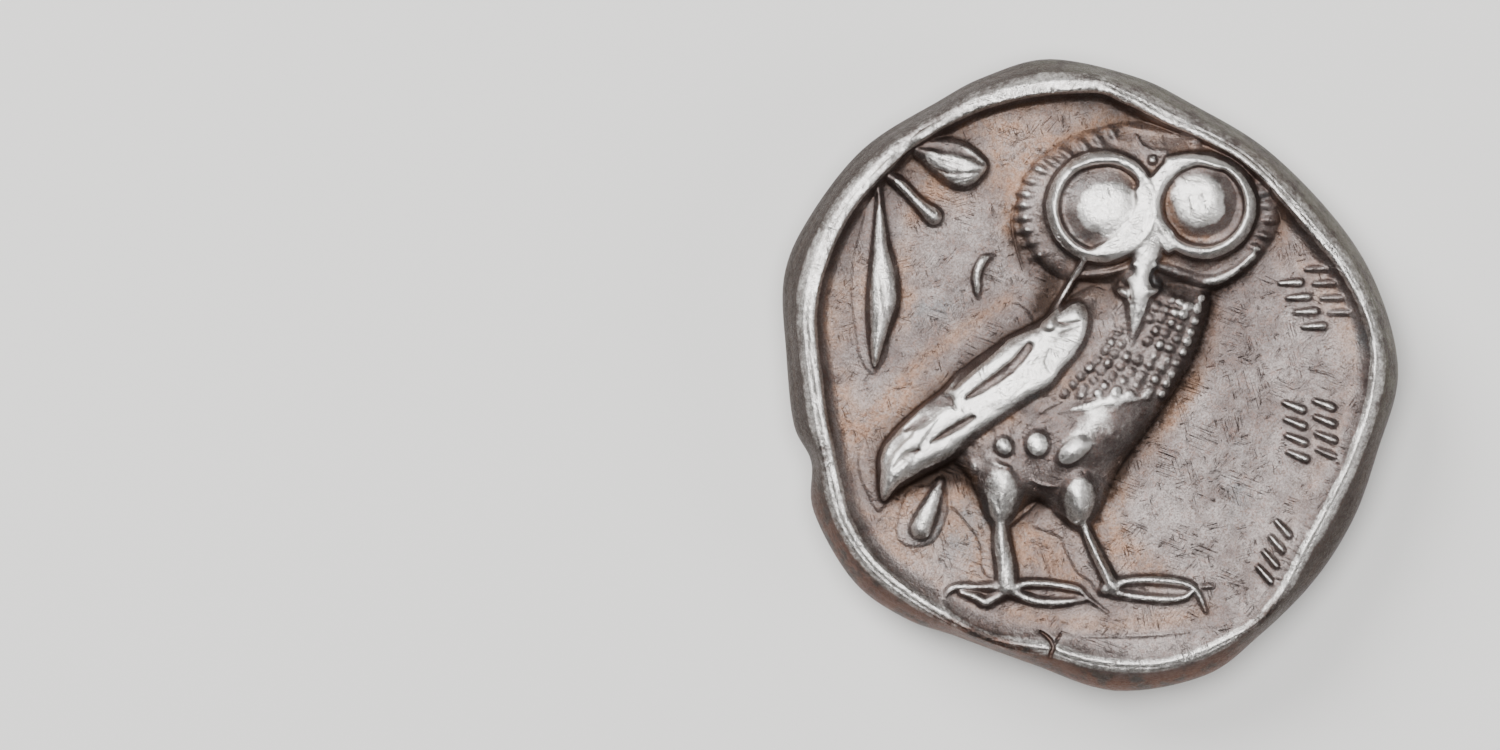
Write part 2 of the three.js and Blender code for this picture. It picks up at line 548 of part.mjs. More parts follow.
function crestAndNecklace(layer) {
  const beads = [
    [-10.75, -1.6, 0.3], [-10.2, -2.35, 0.3], [-9.6, -3.05, 0.3], [-9.05, -3.6, 0.3],
    [-8.4, -4.2, 0.3], [-7.6, -4.5, 0.3],
    [-2.4, -3.4, 0.3], [-2.1, -4.3, 0.36], [-1.85, -5.1, 0.38], [-1.75, -6, 0.42],
    [-1.65, -6.9, 0.42], [-1.6, -7.8, 0.38], [-1.8, -8.7, 0.32], [-1.9, -9.8, 0.35],
  ];
  for (const [x, y, radius] of beads) cap(layer, x, y, radius, radius, 0.36, 0, 0.6);
  for (let k = 0; k < 5; k++) {                            // plumes of the crest
    bar(layer, [[-11.3 + 0.45 * k, -2.7 - k], [-10.5 + 0.65 * k, -2.3 - 0.75 * k]], 0.2, 0.35);
  }
  bar(layer, [[-3.2, -2.9], [-3.5, -5], [-2.7, -9.2]], 0.34, 0.32);           // lock on the neck
  bar(layer, [[-6, -8.5], [-4.2, -8.9], [-2.6, -9.6]], [0.35, 0.6, 0.4], 0.3);
  bar(layer, [[-1, -9.9], [1, -10.1], [3, -10.8]], 0.2, 0.26);
  for (let k = 0; k < 5; k++) cap(layer, -1.3 + 0.75 * k, -11.15 - 0.08 * k, 0.3, 0.3, 0.4);
}

// Wear brings everything above the shoulder level down to one height.
function worn(height) {
  const shoulder = flan.headRelief - 0.3;
  return height < shoulder ? height : shoulder + 0.3 * (1 - Math.exp((shoulder - height) / 0.3));
}

function headRelief() {
  let head = minus(headMass(), drawn(eyeHollow));
  head = minus(plus(head, drawn(faceFeatures)), drawn(faceFolds));
  head = minus(plus(over(head, drawn(hairMass)), drawn(hairStrands)), drawn(curlGrooves));
  head = minus(head, drawn((layer) => cap(layer, -3.8, 1.6, 1.5, 2.4, 0.35, 18, 0.5)));
  head = plus(head, drawn(ear));
  head = over(head, drawn((layer) => cap(layer, -1.7, -1.15, 1.25, 1.25, 1.95, 0, 0.22)));  // earring
  head = plus(plus(head, drawn(volutes)), drawn(leavesAndVisor));
  return plus(head, drawn(crestAndNecklace)).map(worn);
}

// The two faces of the coin.

const halfThickness = flan.thickness / 2;
const owlLayer = soften(owlRelief(), sheet.softness);
const headLayer = soften(headRelief(), sheet.softness);

// From the mid plane at the edge up to a height, along a superellipse, t from 0 to 1.
const flankRise = (t, height, power) =>
  -halfThickness + (halfThickness + height) * (1 - (1 - clamp(t, 0, 1)) ** power) ** (1 / power);

// The rim's height, crest and slope change with the angle round the coin.
function rimAt(angle) {
  const highSide = Math.cos(angle - radians(flan.rimSwellTurn));
  const wideSide = Math.cos(angle - radians(flan.rimWidthTurn));
  return {
    crest: flan.rimHeight + flan.rimSwell * highSide,
    foot: flan.rimFoot - flan.rimFootSwell * highSide,
    halfWidth: flan.rimHalfWidth + flan.rimWidthSwell * wideSide,
  };
}

// The higher of relief and rim, cut by the flank outside the rim's crest.
function owlSurface(x, y) {
  const angle = Math.atan2(y, x);
  const reach = Math.hypot(x, y);
  const { crest, foot, halfWidth } = rimAt(angle);
  const fromCrest = crestRadius(angle) - reach;
  const rise = crest * (1 - clamp((fromCrest - halfWidth) / foot, 0, 1)) ** 2;
  const flankWidth = Math.max(owlRadius(angle) - crestRadius(angle) - halfWidth / 2, 0.3);
  const flank = flankRise((owlRadius(angle) - reach) / flankWidth, crest, flan.flankPower)
    + 3 * Math.max(0, fromCrest);
  return Math.min(Math.max(heightOf(owlLayer, x, y), rise), flank);
}

// The relief runs out over the edge and is rounded down with it; a low lip stands before the face.
function headSurface(x, y) {
  const angle = Math.atan2(y, x);
  const inward = headRadius(angle) - Math.hypot(x, y);
  const there = smoothStep((Math.cos(angle - radians(flan.lipTurn)) - 0.25) / 0.3);
  const lip = flan.lipHeight * there * swelling(Math.max(0, inward - 0.85) / 0.75, 1);
  return flankRise(inward / flan.roundedEdge, Math.max(heightOf(headLayer, x, y), lip), 2);
}

// Meshing.

// Twice the area of a triangle, positive where its corners run anticlockwise.
const turnArea = ([ax, ay], [bx, by], [cx, cy]) => (bx - ax) * (cy - ay) - (by - ay) * (cx - ax);

function insideCircle(a, b, c, d) {
  const [ax, ay, bx, by, cx, cy] = [a, b, c].flatMap((p) => [p[0] - d[0], p[1] - d[1]]);
  const a2 = ax * ax + ay * ay;
  const b2 = bx * bx + by * by;
  const c2 = cx * cx + cy * cy;
  return a2 * (bx * cy - by * cx) - b2 * (ax * cy - ay * cx) + c2 * (ax * by - ay * bx) > 1e-12;
}

// A Delaunay mesh of the unit disc that starts as a fan over its edge points.
class DiscMesh {
  constructor(edgePoints, heightAt) {
    this.heightAt = heightAt;
    this.points = [];
    for (let i = 0; i < edgePoints; i++) {
      const a = 2 * Math.PI * i / edgePoints;
      this.points.push([Math.cos(a), Math.sin(a)]);
    }
    this.points.push([0, 0]);
    this.heights = this.points.map(([s, t]) => heightAt(s, t));
    this.triangles = [];
    for (let i = 0; i < edgePoints; i++) {
      this.triangles.push({ corner: [edgePoints, i, (i + 1) % edgePoints], next: [] });
    }
    this.triangles.forEach((triangle, i) => {
      const after = this.triangles[(i + 1) % edgePoints];
      const before = this.triangles[(i + edgePoints - 1) % edgePoints];
      triangle.next = [null, after, before];
    });
  }

  // Adds one point inside a triangle, flips edges until the mesh is Delaunay again,
  // and returns the triangles that changed. next[i] is the neighbour opposite corner[i].
  insert(triangle, point) {
    const p = this.points.push(point) - 1;
    this.heights.push(this.heightAt(...point));
    const [a, b, c] = triangle.corner;
    const [acrossA, acrossB, acrossC] = triangle.next;
    const second = { corner: [b, c, p] };
    const third = { corner: [c, a, p] };
    triangle.corner = [a, b, p];
    triangle.next = [second, third, acrossC];
    second.next = [third, triangle, acrossA];
    third.next = [triangle, second, acrossB];
    this.triangles.push(second, third);
    this.relink(acrossA, triangle, second);
    this.relink(acrossB, triangle, third);
    const changed = new Set([triangle, second, third]);
    for (const start of [triangle, second, third]) this.settle(start, p, changed);
    return changed;
  }

  relink(triangle, from, to) {
    if (triangle) triangle.next[triangle.next.indexOf(from)] = to;
  }

  settle(triangle, p, changed) {
    const i = triangle.corner.indexOf(p);
    const other = triangle.next[i];
    if (!other) return;
    const j = other.next.indexOf(triangle);
    const q = other.corner[j];
    const [x, y] = [triangle.corner[(i + 1) % 3], triangle.corner[(i + 2) % 3]];
    const [pp, px, py, pq] = [p, x, y, q].map((k) => this.points[k]);
    if (!insideCircle(pp, px, py, pq)) return;
    const acrossX = triangle.next[(i + 1) % 3];
    const acrossY = triangle.next[(i + 2) % 3];
    const beyondY = other.next[(j + 1) % 3];
    const beyondX = other.next[(j + 2) % 3];
    triangle.corner = [p, x, q];
    triangle.next = [beyondY, other, acrossY];
    other.corner = [p, q, y];
    other.next = [beyondX, acrossX, triangle];
    this.relink(beyondY, other, triangle);
    this.relink(acrossX, triangle, other);
    changed.add(triangle).add(other);
    this.settle(triangle, p, changed);
    this.settle(other, p, changed);
  }

  find(point) {
    return this.triangles.find(({ corner: [a, b, c] }) => {
      const [pa, pb, pc] = [a, b, c].map((k) => this.points[k]);
      return turnArea(pa, pb, point) > 0 && turnArea(pb, pc, point) > 0 && turnArea(pc, pa, point) > 0;
    });
  }
}

// A sample whose error is weighed as a distance square to the surface, not as a height.
function weighed(s, t, heightAt) {
  const step = 1 / mesh.samples;
  const reach = step * owlRadius(Math.atan2(t, s));
  const height = heightAt(s, t);
  const slope = Math.hypot(heightAt(s + step, t) - height, heightAt(s, t + step) - height) / reach;
  return { s, t, height, weight: 1 / Math.hypot(1, slope) };
}

// Samples of the disc on a grid, each moved a little so that no three lie on a line.
function discSamples(heightAt) {
  const n = mesh.samples;
  const grid = [];
  for (let row = 0; row <= n; row++) {
    for (let col = 0; col <= n; col++) {
      const shift = mesh.unsteadiness * Math.sin(12.9898 * col + 78.233 * row);
      const s = 2 * (col + shift) / n - 1;
      const t = 2 * (row - shift) / n - 1;
      const reach = Math.hypot(s, t);
      grid.push(reach < mesh.reach ? weighed(s, t, heightAt) : null);
    }
  }
  return grid;
}

// Finds the sample in a triangle that its plane misses by most.
function findWorst(disc, triangle, grid) {
  const n = mesh.samples;
  const [a, b, c] = triangle.corner.map((k) => disc.points[k]);
  const [ha, hb, hc] = triangle.corner.map((k) => disc.heights[k]);
  const area = turnArea(a, b, c);
  const cell = (v) => clamp(Math.round((v + 1) * n / 2), 0, n);
  triangle.worst = { error: 0, sample: null };
  for (let row = cell(Math.min(a[1], b[1], c[1])); row <= cell(Math.max(a[1], b[1], c[1])); row++) {
    for (let col = cell(Math.min(a[0], b[0], c[0])); col <= cell(Math.max(a[0], b[0], c[0])); col++) {
      const sample = grid[row * (n + 1) + col];
      if (!sample) continue;
      const here = [sample.s, sample.t];
      const wa = turnArea(b, c, here) / area;
      const wb = turnArea(c, a, here) / area;
      const wc = 1 - wa - wb;
      if (Math.min(wa, wb, wc) < 0.01) continue;
      const error = sample.weight * Math.abs(wa * ha + wb * hb + wc * hc - sample.height);
      if (error > triangle.worst.error) triangle.worst = { error, sample };
    }
  }
}

// Meshes one face: the seeds first, then always the sample that is missed by most.
function refine(heightAt, seeds, pointCount) {
  const disc = new DiscMesh(mesh.edgePoints, heightAt);
  for (const seed of seeds) disc.insert(disc.find(seed), seed);
  const grid = discSamples(heightAt);
  disc.triangles.forEach((triangle) => findWorst(disc, triangle, grid));
  while (disc.points.length < pointCount) {
    let target = disc.triangles[0];
    for (const triangle of disc.triangles) {
      if (triangle.worst.error > target.worst.error) target = triangle;
    }
    const { s, t } = target.worst.sample;
    for (const triangle of disc.insert(target, [s, t])) findWorst(disc, triangle, grid);
  }
  return disc;
}

// The disc is stretched to the flan's outline, in the owl's own directions.
function onFlan(s, t) {
  const reach = owlRadius(Math.atan2(t, s));
  return [s * reach, t * reach];
}

function onDisc(x, y) {
  const reach = owlRadius(Math.atan2(y, x));
  return [x / reach, y / reach];
}

const owlField = flan.headRelief + flan.thickness;
const upperHeight = (s, t) => owlField + owlSurface(...onFlan(s, t));
const lowerHeight = (s, t) => flan.headRelief - headSurface(...throughFlan(...onFlan(s, t)));

function mountCorners() {
  const reach = mountFace.side / Math.sqrt(3);
  return [90, 210, 330].map((turn) => onDisc(
    mountFace.x + reach * Math.cos(radians(turn)), mountFace.y + reach * Math.sin(radians(turn))));
}

// Points of the disc in a ring that keeps to a line of the coin.
function ringOnDisc(radiusAt, phase) {
  const ring = [];
  for (let i = 0; i < mesh.ringPoints; i++) {
    const a = 2 * Math.PI * (i + phase) / mesh.ringPoints;
    ring.push(onDisc(radiusAt(a) * Math.cos(a), radiusAt(a) * Math.sin(a)));
  }
  return ring;
}

// The rim's crest, its foot in the field, and the middle of its outer flank.
function upperRings() {
  return [
    ...ringOnDisc(crestRadius, 0.25),
    ...ringOnDisc((a) => crestRadius(a) - rimAt(a).halfWidth - rimAt(a).foot, 0.75),
    ...ringOnDisc((a) => lerp(crestRadius(a), owlRadius(a), 0.75), 0.75),
  ];
}

// The rounded edge of the lower side, where it ends and where it is steep.
function lowerRings() {
  return [
    ...ringOnDisc((a) => owlRadius(a) - flan.roundedEdge, 0.25),
    ...ringOnDisc((a) => owlRadius(a) - 0.2 * flan.roundedEdge, 0.75),
  ];
}

// Joins both faces at their common edge points and sets the coin on its box's lowest plane.
function coinGeometry() {
  const upper = refine(upperHeight, [...upperRings(), ...mountCorners()], mesh.upperPoints);
  const lower = refine(lowerHeight, lowerRings(), mesh.lowerPoints);
  const ring = mesh.edgePoints;
  const positions = upper.points.map(([s, t], i) => [...onFlan(s, t), upper.heights[i]]);
  for (let i = ring; i < lower.points.length; i++) {
    positions.push([...onFlan(...lower.points[i]), lower.heights[i]]);
  }
  const shift = upper.points.length - ring;
  const lowerIndex = (i) => (i < ring ? i : i + shift);
  const faces = [
    ...upper.triangles.flatMap(({ corner }) => corner),
    ...lower.triangles.flatMap(({ corner: [a, b, c] }) => [a, c, b].map(lowerIndex)),
  ];
  const geometry = new THREE.BufferGeometry();
  geometry.setAttribute('position', new THREE.Float32BufferAttribute(positions.flat(), 3));
  geometry.setIndex(faces);
  geometry.computeBoundingBox();
  const { min, max } = geometry.boundingBox;
  geometry.translate(-(min.x + max.x) / 2, -(min.y + max.y) / 2, -min.z);
  geometry.computeVertexNormals();
  return geometry;
}

const coin = new THREE.Mesh(coinGeometry(), silver);
coin.name = 'coin';

const tetradrachm = new THREE.Group();
tetradrachm.add(coin);
export default tetradrachm;
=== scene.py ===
import math
import bpy
import numpy as np
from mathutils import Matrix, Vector


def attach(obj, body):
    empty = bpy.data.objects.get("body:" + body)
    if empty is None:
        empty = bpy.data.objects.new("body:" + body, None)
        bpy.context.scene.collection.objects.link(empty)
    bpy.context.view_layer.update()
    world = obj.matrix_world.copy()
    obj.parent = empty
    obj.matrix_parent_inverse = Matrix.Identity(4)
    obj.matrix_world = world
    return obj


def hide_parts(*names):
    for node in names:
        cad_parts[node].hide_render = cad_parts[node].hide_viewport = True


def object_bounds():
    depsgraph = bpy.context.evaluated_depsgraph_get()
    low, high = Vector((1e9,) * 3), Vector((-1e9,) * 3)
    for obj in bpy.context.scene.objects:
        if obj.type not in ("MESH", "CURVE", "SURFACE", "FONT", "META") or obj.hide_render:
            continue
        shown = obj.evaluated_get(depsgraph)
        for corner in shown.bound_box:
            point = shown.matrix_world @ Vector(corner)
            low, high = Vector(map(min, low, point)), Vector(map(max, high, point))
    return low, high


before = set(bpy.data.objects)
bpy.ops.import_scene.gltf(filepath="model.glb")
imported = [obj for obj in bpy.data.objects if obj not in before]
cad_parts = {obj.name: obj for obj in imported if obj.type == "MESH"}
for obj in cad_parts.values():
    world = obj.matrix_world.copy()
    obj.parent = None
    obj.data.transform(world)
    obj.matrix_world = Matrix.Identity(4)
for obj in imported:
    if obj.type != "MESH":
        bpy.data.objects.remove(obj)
cadLow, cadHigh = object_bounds()

# All relief is worked out in millimetres, in the owl's own directions: x right, y up.
mm = 0.001

# The square sheet on which relief is drawn.
sheet = {"half": 13.2, "pitch": 0.04}
axis = np.arange(-sheet["half"], sheet["half"] + sheet["pitch"] / 2, sheet["pitch"])
gridX, gridY = np.meshgrid(axis, axis)


def blank():
    return np.zeros_like(gridX)


# Catmull-Rom: each span is the cubic that passes its two ends with the slope of their neighbours.
def smoothCurve(points, closed=False, steps=8):
    p = np.asarray(points, float)
    if len(p) == 2 and not closed:
        return p
    if closed:
        q = np.vstack([p[-1], p, p[0], p[1]])
    else:
        q = np.vstack([2 * p[0] - p[1], p, 2 * p[-1] - p[-2]])
    a, b, c, d = q[:-3, None], q[1:-2, None], q[2:-1, None], q[3:, None]
    t = (np.arange(steps) / steps)[None, :, None]
    line = 0.5 * (2 * b + (c - a) * t + (2 * a - 5 * b + 4 * c - d) * t**2 + (3 * b - a - 3 * c + d) * t**3)
    line = line.reshape(-1, p.shape[1])
    return line if closed else np.vstack([line, p[-1]])


# Rows and columns of the sheet that hold some points, with a margin round them.
def window(points, reach):
    p = np.asarray(points, float)
    low = np.searchsorted(axis, p.min(0) - reach)
    high = np.searchsorted(axis, p.max(0) + reach)
    return slice(low[1], high[1] + 1), slice(low[0], high[0] + 1)


# Distance to the nearest stretch of a line, and how far along the line that is, 0 to 1.
def nearest(line, x, y):
    best = np.full(x.shape, np.inf)
    place = np.zeros(x.shape)
    for i, ((ax, ay), (bx, by)) in enumerate(zip(line[:-1], line[1:])):
        dx, dy = bx - ax, by - ay
        s = np.clip(((x - ax) * dx + (y - ay) * dy) / (dx * dx + dy * dy), 0, 1)
        d = (x - ax - s * dx) ** 2 + (y - ay - s * dy) ** 2
        closer = d < best
        best = np.where(closer, d, best)
        place = np.where(closer, (i + s) / (len(line) - 1), place)
    return np.sqrt(best), place


# Values spread evenly along a line, read at a share of its length.
def along(values, t):
    values = np.atleast_1d(values)
    return np.interp(t, np.linspace(0, 1, len(values)), values)


# One minus the square of the relative distance, to a power: 1 is a bell, 0.5 a half round.
def swelling(q, power):
    return np.clip(1 - q * q, 0, None) ** power


# A bar along a curve: the swelling of distance over half width, times height, both along the curve.
def bar(layer, points, halfWidth, height, power=0.8, steps=6):
    line = smoothCurve(points, steps=steps)
    rows, cols = window(line, np.max(halfWidth))
    d, t = nearest(line, gridX[rows, cols], gridY[rows, cols])
    z = along(height, t) * swelling(d / along(halfWidth, t), power)
    layer[rows, cols] = np.maximum(layer[rows, cols], z)


# Even-odd rule: a place is inside when a ray from it crosses the outline an odd number of times.
def insideOf(line, x, y):
    inside = np.zeros(x.shape, bool)
    for (ax, ay), (bx, by) in zip(line, np.roll(line, -1, axis=0)):
        if ay != by:
            inside ^= ((ay > y) != (by > y)) & (x < ax + (y - ay) * (bx - ax) / (by - ay))
    return inside


# An area with a rounded shoulder: one minus the square of what is left of the shoulder's width.
def cushion(layer, points, height, shoulder, power=0.5, steps=6):
    line = smoothCurve(points, closed=True, steps=steps)
    rows, cols = window(line, 0)
    x, y = gridX[rows, cols], gridY[rows, cols]
    d = nearest(np.vstack([line, line[0]]), x, y)[0]
    t = np.clip(d / shoulder, 0, 1)
    z = height * np.clip(1 - (1 - t) ** 2, 0, 1) ** power
    layer[rows, cols] = np.maximum(layer[rows, cols], np.where(insideOf(line, x, y), z, 0))


# A domed oval: the swelling of the distance from its middle, each axis over its own radius.
def cap(layer, x0, y0, rx, ry, height, turn=0.0, power=0.8):
    c, s = math.cos(math.radians(turn)), math.sin(math.radians(turn))
    rows, cols = window([[x0, y0]], max(rx, ry))
    x, y = gridX[rows, cols] - x0, gridY[rows, cols] - y0
    q = np.hypot((x * c + y * s) / rx, (y * c - x * s) / ry)
    layer[rows, cols] = np.maximum(layer[rows, cols], height * swelling(q, power))


# A raised ring: the swelling of the distance from a circle, over half the ring's width.
def hoop(layer, x0, y0, radius, halfWidth, height, power=0.8):
    rows, cols = window([[x0, y0]], radius + halfWidth)
    q = (np.hypot(gridX[rows, cols] - x0, gridY[rows, cols] - y0) - radius) / halfWidth
    layer[rows, cols] = np.maximum(layer[rows, cols], height * swelling(q, power))


# The higher of two surfaces, with the crease between them rounded over the width k.
def smoothMax(a, b, k):
    d = np.clip(0.5 + 0.5 * (a - b) / k, 0, 1)
    return b + (a - b) * d + k * d * (1 - d)


# The lower of two surfaces, rounded in the same way.
def smoothMin(a, b, k):
    return -smoothMax(-a, -b, k)


# A bell-shaped blur, down the columns and then along the rows.
def blur(z, spread):
    reach = max(1, int(np.ceil(3 * spread / sheet["pitch"])))
    bell = np.exp(-0.5 * (np.arange(-reach, reach + 1) * sheet["pitch"] / spread) ** 2)
    bell /= bell.sum()
    size = 2 * reach + len(z)
    padded = np.pad(z, reach, mode="edge")
    wave = np.fft.rfft(bell, size)
    down = np.fft.irfft(np.fft.rfft(padded, axis=0) * wave[:, None], size, axis=0)
    both = np.fft.irfft(np.fft.rfft(down, axis=1) * wave[None, :], size, axis=1)
    return both[2 * reach:, 2 * reach:]


# Blurred random heights, scaled to a spread of one.
def unevenness(size, seed):
    z = blur(np.random.default_rng(seed).standard_normal(gridX.shape), size)
    return z / z.std()


# A blank layer with something drawn on it.
def drawn(draw):
    layer = blank()
    draw(layer)
    return layer


# Bilinear: the four cells round a place, weighed by how near they are.
def sample(layer, x, y):
    u = np.clip((x + sheet["half"]) / sheet["pitch"], 0, len(axis) - 1.001)
    v = np.clip((y + sheet["half"]) / sheet["pitch"], 0, len(axis) - 1.001)
    i, j = u.astype(int), v.astype(int)
    u, v = u - i, v - j
    low = layer[j, i] * (1 - u) + layer[j, i + 1] * u
    high = layer[j + 1, i] * (1 - u) + layer[j + 1, i + 1] * u
    return low * (1 - v) + high * v


# 3 t t - 2 t t t, held between 0 and 1.
def smoothStep(t):
    t = np.clip(t, 0, 1)
    return t * t * (3 - 2 * t)


# The flan: its outline, and the rim round the owl.
flan = {
    "thickness": 2.26,      # from one field to the other
    "headRelief": 1.85,     # highest worn relief of the lower side
    "rimHeight": 0.58,      # mean height of the rim over the owl's field
    "rimSwell": 0.32,       # how much higher it stands on its high side
    "rimSwellTurn": 105,
    "rimHalfWidth": 0.2,
    "rimWidthSwell": 0.08,
    "rimWidthTurn": 135,
    "rimFoot": 0.75,        # mean width of its inner slope
    "rimFootSwell": 0.3,    # how much narrower that is on the high side
    "rimRoughness": 0.09,
    "rimShare": 0.5,        # how far low relief still shows on the rim
    "rimShareHeight": 0.1,
    "fieldRise": 0.06,      # gentle rise of the field towards the rim
    "fieldRiseReach": 2.2,
    "flankPower": 1.45,
    "flankSteepness": 3,
    "creaseWidth": 0.05,
    "narrowestFlank": 0.3,
    "roundedEdge": 1.2,
    "edgePower": 2,
    "wornTop": 0.3,         # depth over which the highest relief is worn level
    "dieTurn": 69,          # degrees between the two dies
    "outline": [
        [12.7, 0], [12, 3.2], [10.4, 6], [7.5, 9], [4.4, 10.9], [2.1, 12], [-1.3, 12.7], [-3.9, 12],
        [-5.8, 11], [-8.8, 9.1], [-11, 6.3], [-12, 3.9], [-11.9, 0.8], [-11.6, -2], [-10.9, -3.5],
        [-10.8, -5.5], [-9.2, -8.3], [-7.1, -9.8], [-5.1, -10.5], [-2.1, -11.6], [1.3, -12.7],
        [4.9, -12.1], [7.1, -10.5], [9.3, -8.3], [10.9, -5.8], [11.9, -3],
    ],
    "rimCrest": [
        [-10.85, 0], [-11, 3], [-9.95, 6.1], [-8.2, 8.3], [-6.2, 9.95], [-3.2, 11.25], [0.3, 11.65],
        [1.7, 11.2], [3.2, 10.45], [6.6, 8.65], [9.5, 5.55], [10.6, 4.1], [11.6, 2], [11.75, -0.2],
        [10.9, -3.2], [9, -6.9], [7.5, -9.5], [5.4, -10.85], [3, -11.65], [0.5, -11.55], [-1.2, -11.1],
        [-4, -10.55], [-7.6, -8.4], [-9.4, -6.3], [-10.2, -3.7],
    ],
}


# Radius of a closed curve at any angle, read between its points.
def radiusByAngle(outline):
    x, y = smoothCurve(outline, closed=True).T
    angle, radius = np.arctan2(y, x), np.hypot(x, y)
    order = np.argsort(angle)
    return lambda a: np.interp(a, angle[order], radius[order], period=2 * np.pi)


owlRadius = radiusByAngle(flan["outline"])
crestRadius = radiusByAngle(flan["rimCrest"])
dieAngle = math.radians(flan["dieTurn"])


# A mirror in a line at half the die angle: it turns owl places into head places, and back.
def throughFlan(x, y):
    c, s = math.cos(dieAngle), math.sin(dieAngle)
    return c * x + s * y, s * x - c * y


def headRadius(angle):
    return owlRadius(dieAngle - angle)


# The owl's side.
owlSizes = {
    "eyes": [[0.74, 6.72, 1.95], [4.84, 6.76, 1.82]],   # x, y, radius of the ring
    "pupils": [[0.9, 6.66], [4.6, 6.98]],
    "socketLevel": 0.8,
    "eyeLevel": 1.3,
    "faceMiddle": [2.6, 6.6],
    "featherReach": 0.33,
    "scaleRows": 7,
    "scalePitch": 0.47,
}


# Body, wing and head are cushions on their own outlines, thighs are caps; creases are rounded.
def owlBody():
    body = drawn(lambda layer: cushion(layer, [
        [-1.6, 2.1], [-0.4, 3.2], [1.2, 3.9], [3.2, 4], [4.95, 3.5], [5.08, 2.7], [4.85, 1.8], [4.5, 0.8],
        [3.9, -0.3], [3, -1.65], [2.1, -2.9], [1.45, -3.8], [1.05, -4.6], [0.85, -5.2], [0.5, -5.9],
        [0, -6.3], [-0.5, -6.1], [-1.1, -5.6], [-1.8, -5.1], [-2.5, -5.4], [-3, -6.1], [-3.5, -6.25],
        [-3.95, -5.7], [-4.3, -4.7], [-4.8, -3.9], [-5.4, -3.2], [-5.5, -1.6], [-3.6, 0.6],
    ], 0.86, 2.1, 0.6))
    thighs = blank()
    cap(thighs, -3.3, -4.75, 0.95, 1.45, 0.42, 14)
    cap(thighs, -0.2, -4.95, 0.8, 1.25, 0.42, -8)
    cap(thighs, 0.5, -2, 2.7, 1.6, 0.3, 42, 1)
    cap(thighs, -1.6, -3.4, 2.2, 1.5, 0.1, 0, 1)
    wing = drawn(lambda layer: cushion(layer, [
        [-8.05, -5.1], [-8.25, -4], [-8.15, -3], [-7.5, -2.1], [-6.5, -1.2], [-5.7, -0.6], [-5, 0.15],
        [-4, 0.9], [-3, 1.55], [-1.7, 2.2], [-0.9, 2.75], [-0.3, 3.05], [0.15, 2.9], [0.5, 2.3],
        [0.5, 1.6], [0.1, 0.75], [-0.5, 0], [-1.1, -0.75], [-2, -1.3], [-3, -1.95], [-4.2, -2.75],
        [-5.3, -3.5], [-6.5, -4.1], [-7.4, -4.6],
    ], 1.24, 0.8))
    head = drawn(lambda layer: cushion(layer, [
        [-2.65, 6.6], [-2.4, 7.9], [-1.5, 9], [0.4, 9.85], [2.5, 10.15], [4.6, 9.9], [6.4, 9.1],
        [7.6, 7.8], [7.9, 6.4], [7.4, 5.1], [6.4, 4.1], [5, 3.3], [3.4, 3.4], [1.5, 3.7], [0, 3.75],
        [-1.1, 3.95], [-2.1, 4.9],
    ], 0.5, 1.5))
    cap(head, 2.6, 6.6, 4.7, 3.3, 0.98, 0, 0.5)
    return smoothMax(np.maximum(smoothMax(blank(), body + thighs, 0.1), wing), head, 0.08)


# Sinks each socket to one level, then stands the ring and the worn ball of the eye in it.
def owlEyes(owl):
    raised = blank()
    for (x0, y0, radius), (px, py) in zip(owlSizes["eyes"], owlSizes["pupils"]):
        t = smoothStep((radius + 0.25 - np.hypot(gridX - x0, gridY - y0)) / 0.45)
        owl = owl + (owlSizes["socketLevel"] - owl) * t
        ball = drawn(lambda layer: cap(layer, px, py, 0.84 * radius, 0.82 * radius, 0.6, 0, 0.9))
        ring = drawn(lambda layer: hoop(layer, x0, y0, radius + 0.06, 0.32, 0.6, 0.8))
        worn = blank() + owlSizes["eyeLevel"] - owlSizes["socketLevel"]
        raised = np.maximum(raised, smoothMin(np.maximum(ball, ring), worn, 0.1))
    return owl + raised


